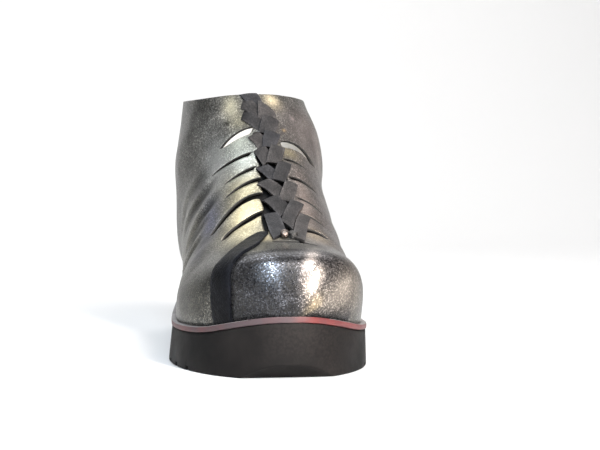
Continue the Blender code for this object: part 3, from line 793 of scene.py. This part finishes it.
def foil_tone_and_painted_light(section, turn):
    """Colour of the foil at a point of the upper, with its painted highlights, reflections and crease shade,
    and how far it has rubbed through to dark leather.
    """
    vamp = ease((VAMP_ENDS - section) / VAMP_EASE)
    toe = ease((TOE_ENDS - abs(turn) - section) / TOE_EASE)
    colour = STRIP_TONE.lerp(VAMP_TONE, vamp).lerp(TOE_TONE, toe)
    bright = 0.0
    for at_section, at_turn, along, around, patch, strength in FOIL_TONES_AND_PAINTED_LIGHT:
        near = strength * math.exp(-((section - at_section) / along) ** 2 - ((turn - at_turn) / around) ** 2)
        colour = colour.lerp(Vector(patch), near)
        bright = max(bright, near * (patch[0] > BRIGHT_FROM))
    # painted shade: darker in the creases, with a painted highlight on their raised sides
    colour *= 1.0 - CREASE_SHADE * min(max(crease_depth(section, turn), -0.5), 1.0)
    rubbed = max(toe, ease((8.0 - section) / 2.0) * ease((-0.35 - turn) / 0.2))
    return (*colour, FOIL_WEAR + TOE_WEAR * rubbed + BRIGHT_WEAR * bright)


def slant_strip_ends(skin, section_of, turn_of):
    """Cuts the inner ends of the lateral strips at a slant, further from the braid at their upper corners."""
    cuts = [OPENING_FROM] + [slit.in_section for slit in SLITS if slit.in_turn < 0.0]
    for vert in skin.verts:
        section, turn = vert[section_of], vert[turn_of]
        for lower, upper in zip(cuts, cuts[1:]):
            if lower < section <= upper and turn < 0.0:
                near = math.exp(-((turn - OPENING_LATERAL) / SLANT_REACH) ** 2)
                vert[turn_of] -= STRIP_SLANT * near * (section - lower) / (upper - lower)


def under_braid(section, turn):
    """Whether a point of the leather lies in the opening that the braid covers, narrower towards its top."""
    narrow = OPENING_TAPER * ease((section - TAPER_FROM) / TAPER_EASE)
    inside = OPENING_LATERAL + narrow / 2 < turn < OPENING_MEDIAL - narrow
    return inside and OPENING_FROM < section < OPENING_TO


def upper_skin():
    """The upper's outer surface, slit, opened, creased and closed at the heel, with its foil tones and
    painted highlights and shade.
    """
    turns = skin_turns()
    across, rows = len(turns) - 1, LAST_SECTION * ROWS_PER_SECTION
    skin = bmesh.new()
    section_of = skin.verts.layers.float.new("section")
    turn_of = skin.verts.layers.float.new("turn")
    lift_of = skin.verts.layers.float.new("lift")
    tone_and_painted_light_of = skin.verts.layers.float_color.new("tone")
    bmesh.ops.create_grid(skin, x_segments=across, y_segments=rows, size=1.0)
    at = {}
    for vert in skin.verts:
        column = round((vert.co.x + 1.0) / 2.0 * across)
        row = round((vert.co.y + 1.0) / 2.0 * rows)
        vert[section_of], vert[turn_of] = row / ROWS_PER_SECTION, turns[column]
        at[column, row] = vert
    for slit in SLITS:
        cut_slit(skin, at, turns, slit, section_of, turn_of)
    opened = []
    for face in skin.faces:
        section = sum(vert[section_of] for vert in face.verts) / len(face.verts)
        turn = sum(vert[turn_of] for vert in face.verts) / len(face.verts)
        if under_braid(section, turn):
            opened.append(face)
    bmesh.ops.delete(skin, geom=opened, context="FACES")
    for slit in SLITS:
        open_slit(skin, slit, section_of, turn_of, lift_of)
    slant_strip_ends(skin, section_of, turn_of)
    points = {}
    for vert in skin.verts:
        points[vert] = last_point(vert[section_of], vert[turn_of])
        vert.co = place(*points[vert])
        vert[tone_and_painted_light_of] = foil_tone_and_painted_light(vert[section_of], vert[turn_of])
    skin.normal_update()
    if sum(face.normal.z * face.calc_area() for face in skin.faces) < 0:
        bmesh.ops.reverse_faces(skin, faces=skin.faces)
        skin.normal_update()
    normals = {vert: vert.normal.copy() for vert in skin.verts}
    for vert in skin.verts:
        lift = vert[lift_of]
        if abs(vert[turn_of]) < LASTED_TURN:
            lift += leather_lift(vert[section_of], vert[turn_of], points[vert])
        vert.co += normals[vert] * (lift * MM)
    bmesh.ops.remove_doubles(skin, verts=skin.verts, dist=0.00002)
    return skin


def grain_group():
    """Leather grain: a fine pebbled height, with a mask of the cracks between the pebbles."""
    group = bpy.data.node_groups.new("leather_grain", "ShaderNodeTree")
    for name, side in (("Pebble", "INPUT"), ("Spread", "INPUT"), ("Height", "OUTPUT"), ("Cracks", "OUTPUT")):
        group.interface.new_socket(name, in_out=side, socket_type="NodeSocketFloat")
    start, end = add_node(group, "NodeGroupInput"), add_node(group, "NodeGroupOutput")
    point = add_node(group, "ShaderNodeTexCoord").outputs["Object"]
    bend = add_node(group, "ShaderNodeTexNoise", {"Vector": point, "Scale": 260.0, "Detail": 3.0})
    push = add_node(
        group, "ShaderNodeVectorMath", {0: bend.outputs["Color"], "Scale": 0.0022}, operation="SCALE"
    )
    bent = add_node(group, "ShaderNodeVectorMath", {0: point, 1: push.outputs[0]}, operation="ADD")
    cells = add_node(
        group, "ShaderNodeTexVoronoi", {"Vector": bent.outputs[0], "Scale": start.outputs["Pebble"]},
        feature="DISTANCE_TO_EDGE",
    )
    height = map_range(group, cells.outputs["Distance"], 0.0, start.outputs["Spread"])
    feed(group, end, {"Height": height, "Cracks": maths(group, "SUBTRACT", 1.0, height)})
    return group


GRAIN = grain_group()


def grain(tree, pebble, spread):
    made = add_node(tree, "ShaderNodeGroup", {"Pebble": pebble, "Spread": spread}, node_tree=GRAIN)
    return made.outputs["Height"], made.outputs["Cracks"]


def foil_finish():
    """Crackled metal foil over dark leather: the foil's tone follows the piece, painted highlights,
    reflections and crease shade included, and dark leather shows in the cracks and where the foil has rubbed
    off in specks."""
    finish, tree, shader = new_finish("crackled_foil_leather")
    tone = add_node(tree, "ShaderNodeAttribute", attribute_name="tone")
    wear = tone.outputs["Alpha"]
    cloud = ramp(tree, surface_noise(tree, 55.0, 6.0, 0.6), [(0.3, 0.62), (0.7, 1.25)])
    glints = ramp(tree, surface_noise(tree, 1200.0, 2.0, 0.6), [(0.38, 0.25), (0.53, 0.8), (0.68, 3.0)])
    clouded = mix_colour(tree, 1.0, tone.outputs["Color"], cloud, "MULTIPLY")
    tinted = mix_colour(tree, wear, clouded, mix_colour(tree, 1.0, clouded, glints, "MULTIPLY"))
    height, cracks = grain(tree, 780.0, 0.16)
    specks = ramp(tree, surface_noise(tree, 900.0, 3.0, 0.6), [(0.43, 1.0), (0.57, 0.0)])
    patchy = ramp(tree, surface_noise(tree, 70.0, 5.0, 0.6), [(0.35, 0.6), (0.7, 1.2)])
    amount = maths(tree, "MULTIPLY", wear, patchy)
    shown = maths(tree, "MULTIPLY", maths(tree, "MAXIMUM", cracks, specks), amount, clamp=True)
    dull = map_range(tree, wear, 0.0, 1.0, 0.48, 0.14)
    soft = bump(tree, surface_noise(tree, 420.0, 4.0, 0.6), 0.03, 0.0006)
    feed(tree, shader, {
        "Base Color": mix_colour(tree, shown, tinted, (0.022, 0.021, 0.02)),
        "Metallic": map_range(tree, shown, 0.0, 1.0, 0.92, 0.25),
        "Roughness": maths(tree, "MULTIPLY_ADD", shown, 0.13, dull),
        "Specular IOR Level": 0.2,
        "Specular Tint": (0.6, 0.6, 0.6),
        "Normal": bump(tree, height, 0.11, 0.00025, soft),
    })
    return finish


def lining_finish():
    finish, tree, shader = cloudy_finish(
        "pale_lining_leather", (0.80, 0.77, 0.72), (0.90, 0.88, 0.85), 80.0, 0.75
    )
    height, cracks = grain(tree, 900.0, 0.2)
    feed(tree, shader, {"Normal": bump(tree, height, 0.3, 0.0003)})
    return finish


# Near-black cut edges: dyed dark, and darkened further as painted shade inside the slits.
def raw_edge_and_slit_shade_finish():
    return cloudy_finish("raw_cut_edge_and_slit_shade", (0.010, 0.010, 0.009), (0.034, 0.031, 0.028), 500.0, 0.8)[0]


def add_wall(piece, thickness):
    """Gives a skin of leather its thickness, below its face."""
    wall = piece.modifiers.new("leather thickness", "SOLIDIFY")
    wall.thickness = thickness * MM
    wall.offset = -1.0
    return wall


UPPER_THICK = 1.7

upper_finishes = [foil_finish(), lining_finish(), raw_edge_and_slit_shade_finish()]
upper = add_piece("upper_leather", upper_skin(), upper_finishes, "upper", 60.0)
upper_wall = add_wall(upper, UPPER_THICK)
upper_wall.material_offset = 1
upper_wall.material_offset_rim = 2


# Tongue
# A black leather strip behind the instep opening, sewn to the lining below the braid. Its near-black colour
# stands in as
# painted shade: it shows only as the darkness between the strips and beside the lace.

TONGUE_ROWS = (
    # section, turn of its lateral and medial edges, and depth behind the last's surface
    (7.6, -0.16, 0.16, 3.2),
    (9.0, -0.34, 0.24, 3.4),
    (12.0, -0.38, 0.25, 3.6),
    (14.5, -0.32, 0.22, 3.6),
    (16.0, -0.32, 0.19, 3.4),
    (17.0, -0.37, 0.085, 3.2),
    (18.3, -0.37, 0.08, 3.2),
    (18.7, -0.08, 0.075, 3.0),
    (20.5, -0.06, 0.06, 3.0),
)
TONGUE_STEPS = 60
TONGUE_COLUMNS = 24
TONGUE_THICK = 1.0


def surface_normal(section, turn):
    """Outward normal of the last."""
    along = last_point(section + 0.05, turn) - last_point(section - 0.05, turn)
    around = last_point(section, turn + 0.004) - last_point(section, turn - 0.004)
    return around.cross(along).normalized()


def tongue():
    sections, lateral, medial, depth = [list(column) for column in zip(*TONGUE_ROWS)]
    band = bmesh.new()
    bmesh.ops.create_grid(band, x_segments=TONGUE_COLUMNS, y_segments=TONGUE_STEPS, size=1.0)
    for vert in band.verts:
        section = sections[0] + (sections[-1] - sections[0]) * (vert.co.y + 1.0) / 2.0
        share = (vert.co.x + 1.0) / 2.0
        low, high = smooth_curve(sections, lateral, section), smooth_curve(sections, medial, section)
        turn = low + (high - low) * share
        inward = smooth_curve(sections, depth, section)
        vert.co = place(*(last_point(section, turn) - surface_normal(section, turn) * inward))
    band.normal_update()
    if sum(face.normal.z for face in band.faces) < 0:
        bmesh.ops.reverse_faces(band, faces=band.faces)
    return band


def leather_finish(name, dark, light, roughness, pebble, shine=0.25, tinted=False):
    """Plain dyed leather: cloudy colour, fine pebbled grain, and where tinted, the piece's own tone with its
    painted edge highlights.
    """
    finish, tree, shader = new_finish(name)
    tone = ramp(tree, surface_noise(tree, 130.0, 5.0, 0.6), [(0.32, dark), (0.72, light)])
    if tinted:
        tint = add_node(tree, "ShaderNodeAttribute", attribute_name="tone").outputs["Color"]
        tone = mix_colour(tree, 1.0, tone, tint, "MULTIPLY")
    height, cracks = grain(tree, pebble, 0.2)
    darker = mix_colour(tree, 1.0, tone, (0.45, 0.45, 0.45), "MULTIPLY")
    uneven = [(0.3, roughness - 0.08), (0.7, roughness + 0.1)]
    soft = bump(tree, surface_noise(tree, 300.0, 4.0, 0.6), 0.3, 0.0005)
    feed(tree, shader, {
        "Base Color": mix_colour(tree, cracks, tone, darker),
        "Roughness": ramp(tree, surface_noise(tree, 240.0, 4.0, 0.6), uneven),
        "Specular IOR Level": shine,
        "Normal": bump(tree, height, 0.45, 0.00025, soft),
    })
    return finish


tongue_shade_finish = leather_finish(
    "black_tongue_painted_shade", (0.006, 0.006, 0.006), (0.014, 0.013, 0.013), 0.7, 800.0
)
add_wall(add_piece("tongue", tongue(), [tongue_shade_finish]), TONGUE_THICK)


# Vamp strap
# A flat black leather strap lasted in at the lateral welt. It runs up the toe's side, bends back over the
# vamp and tapers to a point that is tucked under the lowest strip.

STRAP_EDGES = (
    # section and turn of its outer edge, then of its edge towards the toe, from the welt to the tip
    (4.45, -0.895, 3.05, -0.9),
    (4.5, -0.72, 3.1, -0.715),
    (4.6, -0.63, 3.15, -0.615),
    (4.75, -0.56, 3.4, -0.525),
    (5.0, -0.475, 3.85, -0.43),
    (5.25, -0.405, 4.2, -0.35),
    (5.4, -0.345, 4.5, -0.29),
    (5.85, -0.275, 4.8, -0.23),
    (6.9, -0.195, 5.55, -0.155),
    (7.85, -0.14, 6.8, -0.095),
    (8.3, -0.09, 7.85, -0.065),
    (8.45, -0.05, 8.35, -0.045),
)
STRAP_LIFTS = (1.6, 1.9, 2.0, 2.0, 2.1, 2.1, 2.1, 2.1, 2.0, 1.8, 1.4, -0.4)
STRAP = [list(column) for column in zip(*STRAP_EDGES)]
STRAP_STEPS = 80
STRAP_COLUMNS = 10
STRAP_THICK = 1.7
STRAP_EDGE_ROUND = 0.45
LEATHER_CROWN = 0.35
RUBBED_AND_LIT_FROM = 0.6
RUBBED_AND_LIT_MOST = 0.9


def lay_leather(band, at, lift, columns, steps, tone=(1.0, 1.0, 1.0)):
    """Adds to a mesh a flat piece of leather laid over the last: at(along, across) gives section and turn,
    and lift(along, across) how far its face stands off, with along from 0 to 1 and across from -1 to 1.
    tone tints it, and its edges are paler: rubbed, and lit by a painted highlight."""
    tone_and_painted_light_of = band.verts.layers.float_color.get("tone") or band.verts.layers.float_color.new("tone")
    made = bmesh.ops.create_grid(band, x_segments=columns, y_segments=steps, size=1.0)["verts"]
    for vert in made:
        along, across = (vert.co.y + 1.0) / 2.0, vert.co.x
        section, turn = at(along, across)
        vert.co = place(*(last_point(section, turn) + surface_normal(section, turn) * lift(along, across)))
        # paler towards the edges: rubbed wear and a painted edge highlight
        rubbed = 1.0 + RUBBED_AND_LIT_MOST * max(abs(across) - RUBBED_AND_LIT_FROM, 0.0) / (1.0 - RUBBED_AND_LIT_FROM)
        vert[tone_and_painted_light_of] = (*(rubbed * share for share in tone), 1.0)
    band.normal_update()
    faces = list({face for vert in made for face in vert.link_faces})
    if sum(face.normal.z - face.normal.y for face in faces) < 0:
        bmesh.ops.reverse_faces(band, faces=faces)


def crown(across):
    """How far a flat piece of leather swells in its middle, and falls at its edges."""
    return LEATHER_CROWN * (0.4 - across ** 2)


def thicken(piece, thickness, edge_round):
    """Gives a flat piece its leather thickness below its face, and rounds its cut edges."""
    add_wall(piece, thickness)
    edges = piece.modifiers.new("rubbed edges", "BEVEL")
    edges.width = edge_round * MM
    edges.segments = 2
    edges.limit_method = "ANGLE"
    edges.angle_limit = math.radians(50.0)


def strap_at(along, across):
    row = along * (len(STRAP_EDGES) - 1)
    outer = Vector((between(STRAP[0], row), between(STRAP[1], row)))
    return outer.lerp(Vector((between(STRAP[2], row), between(STRAP[3], row))), (across + 1.0) / 2.0)


def strap_lift(along, across):
    return between(STRAP_LIFTS, along * (len(STRAP_LIFTS) - 1)) + crown(across)


strap = bmesh.new()
lay_leather(strap, strap_at, strap_lift, STRAP_COLUMNS, STRAP_STEPS)
strap_finish = leather_finish(
    "black_strap_leather", (0.002, 0.0023, 0.0032), (0.006, 0.0068, 0.0095), 0.5, 650.0, 0.1, True
)
strap_piece = add_piece("vamp_strap_leather", strap, [strap_finish], "vamp_strap", 50.0)
thicken(strap_piece, STRAP_THICK, STRAP_EDGE_ROUND)


# Braid
# Flat charcoal leather lace that comes out of the slits on both sides and crosses down the instep, each
# arm over the end of the one it meets and under the next one down. Its last turn goes over the collar.

LACE_THICK = 1.4
LACE_EDGE_ROUND = 0.35
LACE_STEPS = 22
LACE_COLUMNS = 8
LACE_TUCK = 0.2
LACE_TONES = (
    # how each lace is tinted, in red, green and blue
    (0.75, 0.78, 0.86),
    (1.0, 0.97, 0.95),
    (0.66, 0.66, 0.68),
    (1.25, 1.19, 1.14),
    (0.86, 0.84, 0.84),
)
TONE_STEP = 3
FOOT_SECTION = 8.0
LATERAL_RISES = (-2.2, 0.9, 1.5, 1.2, 0.5, -0.1)
MEDIAL_RISES = (-2.0, 1.7, 2.5, 2.7, 2.1, 1.1)
FOOT_RISES = (-2.0, 1.5, 2.1, 2.1, 1.9, 1.5)
LACE_ARMS = (
    # section and turn of the two corners where an arm comes out, then of the two where it ends
    (26.6, -0.085, 27.2, 0.0, 23.5, 0.025, 22.6, -0.04),
    (22.8, 0.065, 24.8, 0.0, 21.4, -0.025, 20.8, 0.06),
    (23.6, -0.095, 25.8, -0.05, 22.1, 0.025, 21.1, -0.025),
    (21.2, 0.08, 22.3, 0.01, 19.1, -0.035, 18.5, 0.045),
    (21.7, -0.115, 23.2, -0.075, 20.6, 0.025, 19.4, -0.035),
    (18.8, 0.075, 19.4, 0.0, 17.1, -0.03, 16.8, 0.04),
    (18.7, -0.1, 19.2, -0.04, 17.6, 0.015, 16.8, -0.05),
    (17.0, 0.09, 17.3, 0.02, 15.4, -0.025, 15.2, 0.05),
    (16.7, -0.085, 17.2, -0.02, 15.9, 0.02, 15.2, -0.045),
    (15.4, 0.11, 15.5, 0.04, 13.7, -0.01, 13.4, 0.055),
    (14.9, -0.085, 15.2, -0.025, 14.3, 0.04, 13.5, -0.01),
    (13.4, 0.12, 13.6, 0.055, 11.5, 0.005, 11.3, 0.075),
    (13.4, -0.095, 13.8, -0.035, 12.8, 0.055, 11.8, 0.005),
    (11.4, 0.135, 11.6, 0.065, 9.0, 0.0, 8.4, 0.045),
    (11.6, -0.07, 12.1, -0.005, 11.0, 0.065, 9.7, 0.005),
    (9.9, -0.07, 10.0, -0.01, 8.2, 0.015, 7.4, -0.035),
    (10.0, 0.16, 10.3, 0.105, 7.6, 0.025, 7.0, 0.065),
)


def lace_arm(band, arm, tone):
    """One arm of the braid, laid between its four corners: it rises out of its slit, lies over the arm that
    it crosses, and its end tucks under the next."""
    out_outer, out_inner, end_inner, end_outer = (Vector(arm[i:i + 2]) for i in (0, 2, 4, 6))
    rises = LATERAL_RISES if out_outer.y < out_inner.y else MEDIAL_RISES
    if end_outer.x < FOOT_SECTION:
        rises = FOOT_RISES
    if out_outer.x > OPENING_TO:
        rises = (-1.0, *rises[1:-1], max(rises[-1], 0.4))

    def arm_at(along, across):
        t = along * (1.0 + LACE_TUCK) - LACE_TUCK
        u = (across + 1.0) / 2.0
        section, turn = out_outer.lerp(out_inner, u).lerp(end_outer.lerp(end_inner, u), t)
        return min(section, LAST_SECTION + 0.02), turn

    def arm_lift(along, across):
        return between(rises, along * (len(rises) - 1)) + crown(across)

    lay_leather(band, arm_at, arm_lift, LACE_COLUMNS, LACE_STEPS, tone)


lace = bmesh.new()
for number, arm in enumerate(LACE_ARMS):
    lace_arm(lace, arm, LACE_TONES[number * TONE_STEP % len(LACE_TONES)])
lace_finish = leather_finish(
    "charcoal_lace_leather", (0.018, 0.0175, 0.018), (0.045, 0.042, 0.042), 0.62, 720.0, 0.22, True
)
lace_piece = add_piece("braid_lace", lace, [lace_finish], "braid", 50.0)
thicken(lace_piece, LACE_THICK, LACE_EDGE_ROUND)


# Knot
# The lace's end is drawn through a small metal bead, plated and rubbed, and wound into two soft rolls.
# They sit on the foot of the braid and are held there by the lace alone.

KNOT_SECTION = 7.70
KNOT_TURN = 0.010
ROLLS = (
    # slant across the lace in radians, radius of the winding, and its place along the lace
    (0.45, 1.5, 2.6),
    (-0.5, 1.35, 3.6),
)
ROLL_THICK = 2.5
ROLL_WIDENED = 1.25
ROLL_LIFT = 1.4
ROLL_SEGMENTS = 14
ROLL_STEPS = 24
BEAD_RADIUS = 2.3
BEAD_HOLE = 0.8
BEAD_WIDTH = 0.86
BEAD_LIFT = 2.4
BEAD_SHIFT = -1.4
BEAD_ROWS = 12
BEAD_STEPS = 28


def spin_round(shape, profile, steps):
    """Spins a line of vertices a full turn about the X axis."""
    edges = list({edge for vert in profile for edge in vert.link_edges})
    bmesh.ops.spin(
        shape, geom=profile + edges, cent=(0.0, 0.0, 0.0), axis=(1.0, 0.0, 0.0), angle=2 * math.pi,
        steps=steps, use_merge=True,
    )


def knock(shape, depth, pitch):
    """Makes a small shape uneven, as if knocked, and turns its faces outwards."""
    for vert in shape.verts:
        vert.co *= 1.0 + depth * noise.noise(vert.co * pitch)
    bmesh.ops.recalc_face_normals(shape, faces=shape.faces)
    return shape


def spun_bead():
    """A bead turned about the X axis: a round profile with a hole."""
    bead = bmesh.new()
    profile = []
    for i in range(BEAD_ROWS + 1):
        angle = math.pi * (i / BEAD_ROWS - 0.5)
        height = BEAD_HOLE + (BEAD_RADIUS - BEAD_HOLE) * math.cos(angle) ** 0.7
        profile.append(bead.verts.new((BEAD_WIDTH * BEAD_RADIUS * math.sin(angle), 0.0, height)))
    for pair in zip(profile, profile[1:]):
        bead.edges.new(pair)
    spin_round(bead, profile, BEAD_STEPS)
    return knock(bead, 0.12, 0.55)


def knot_rolls():
    """Two soft rolls of lace wound across each other."""
    rolls = bmesh.new()
    for slant, radius, along in ROLLS:
        before = set(rolls.verts)
        ring = bmesh.ops.create_circle(rolls, radius=ROLL_THICK / 2, segments=ROLL_SEGMENTS)["verts"]
        for vert in ring:
            vert.co = Vector((vert.co.x * ROLL_WIDENED, 0.0, vert.co.y + radius))
        spin_round(rolls, ring, ROLL_STEPS)
        made = [vert for vert in rolls.verts if vert not in before]
        slanted = Matrix.Translation((along, 0.0, 0.0)) @ Matrix.Rotation(slant, 4, "Z")
        bmesh.ops.transform(rolls, matrix=slanted, verts=made)
    return knock(rolls, 0.08, 0.7)


def set_on_last(shape, section, turn, lift, shift):
    """Moves a small shape from its own axes onto the last: X across, Z outward."""
    normal = surface_normal(section, turn)
    across = Vector((1.0, 0.0, 0.0))
    across = (across - normal * across.dot(normal)).normalized()
    forward = normal.cross(across)
    origin = last_point(section, turn) + normal * lift + across * shift
    for vert in shape.verts:
        vert.co = place(*(origin + across * vert.co.x + forward * vert.co.y + normal * vert.co.z))
    return shape


def bead_finish():
    """Rubbed rose-gold plate over grey metal."""
    finish, tree, shader = new_finish("rubbed_bead_metal")
    tone = ramp(
        tree, surface_noise(tree, 900.0, 3.0, 0.6),
        [(0.42, (0.06, 0.055, 0.05)), (0.58, (0.16, 0.125, 0.11)), (0.74, (0.50, 0.40, 0.36))],
    )
    feed(tree, shader, {
        "Base Color": tone,
        "Metallic": 0.8,
        "Roughness": 0.38,
        "Normal": bump(tree, surface_noise(tree, 1400.0, 3.0, 0.6), 0.4, 0.0003),
    })
    return finish


knot_finish = leather_finish("grey_knot_leather", (0.045, 0.043, 0.042), (0.09, 0.085, 0.08), 0.6, 720.0)
knot_shape = set_on_last(knot_rolls(), KNOT_SECTION, KNOT_TURN, ROLL_LIFT, 0.0)
add_piece("lace_knot_rolls", knot_shape, [knot_finish], "lace_knot", 60.0)
bead_shape = set_on_last(spun_bead(), KNOT_SECTION, KNOT_TURN, BEAD_LIFT, BEAD_SHIFT)
add_piece("knot_bead", bead_shape, [bead_finish()], None, 60.0)


# Floor, light and camera
# Not part of the shoe: a plain white floor that runs back without an edge, soft window-like lamps and an
# even white surround, and the camera of the photograph in front of the toe.

FLOOR_HALF = 3.0
SWEEP_FROM = 0.9
SWEEP_RADIUS = 0.9
LAMPS = (
    # name, place, what it faces, width, height, power and colour
    ("strip_window", (0.36, -0.93, 0.53), (0.0, -0.12, 0.05), 0.125, 1.20, 28.0, (1.0, 0.92, 0.85)),
    ("front_sky", (-0.11, -0.95, 0.70), (0.0, -0.10, 0.05), 0.30, 1.00, 13.0, (0.74, 0.87, 1.0)),
    ("top_window", (-0.10, 0.85, 1.70), (0.0, 0.65, 0.0), 2.20, 1.60, 38.0, (1.0, 1.0, 1.0)),
    ("side_window", (-1.20, -0.20, 0.60), (0.0, -0.02, 0.07), 0.50, 0.80, 2.5, (1.0, 1.0, 1.0)),
)
SURROUND_LIGHT = 0.08
CAMERA_PLACE = (-0.11176, -0.93507, 0.11134)
CAMERA_DOWN = 2.64
CAMERA_TURN = -8.4
SENSOR_WIDTH = 36.0
FOCAL_LENGTH = 102.12

floor_finish, floor_tree, floor_shader = new_finish("plain_white_floor")
feed(floor_tree, floor_shader, {
    "Base Color": (0.68, 0.68, 0.68), "Roughness": 0.9, "Specular IOR Level": 0.1,
})
floor_shape = bmesh.new()
bmesh.ops.create_grid(floor_shape, x_segments=8, y_segments=120, size=FLOOR_HALF)
for vert in floor_shape.verts:
    angle = (vert.co.y - SWEEP_FROM) / SWEEP_RADIUS
    if angle > 0.0:
        rest = max(angle - math.pi / 2, 0.0)
        angle = min(angle, math.pi / 2)
        vert.co.y = SWEEP_FROM + SWEEP_RADIUS * math.sin(angle)
        vert.co.z = SWEEP_RADIUS * (1.0 - math.cos(angle) + rest)
for face in floor_shape.faces:
    face.smooth = True
floor_mesh = bpy.data.meshes.new("floor")
floor_shape.to_mesh(floor_mesh)
floor_shape.free()
floor_mesh.materials.append(floor_finish)
floor = bpy.data.objects.new("floor", floor_mesh)
bpy.context.scene.collection.objects.link(floor)


def add_lamp(name, location, target, width, height, power, colour):
    lamp = bpy.data.lights.new(name, "AREA")
    lamp.shape = "RECTANGLE"
    lamp.size, lamp.size_y = width, height
    lamp.energy = power
    lamp.color = colour
    stand = bpy.data.objects.new(name, lamp)
    stand.location = location
    stand.rotation_euler = (Vector(target) - Vector(location)).to_track_quat("-Z", "Y").to_euler()
    bpy.context.scene.collection.objects.link(stand)


for row in LAMPS:
    add_lamp(*row)

room = bpy.data.worlds.new("room")
room.use_nodes = True
surround = room.node_tree.nodes["Background"]
feed(room.node_tree, surround, {"Color": (1.0, 1.0, 1.0), "Strength": SURROUND_LIGHT})
bpy.context.scene.world = room
bpy.context.scene.view_settings.view_transform = "Standard"

lens = bpy.data.cameras.new("camera")
lens.sensor_fit = "HORIZONTAL"
lens.sensor_width = SENSOR_WIDTH
lens.lens = FOCAL_LENGTH
lens.clip_start = 0.05
lens.clip_end = 50.0
camera = bpy.data.objects.new("camera", lens)
camera.location = CAMERA_PLACE
camera.rotation_euler = (math.radians(90.0 - CAMERA_DOWN), 0.0, math.radians(CAMERA_TURN))
bpy.context.scene.collection.objects.link(camera)
bpy.context.scene.camera = camera
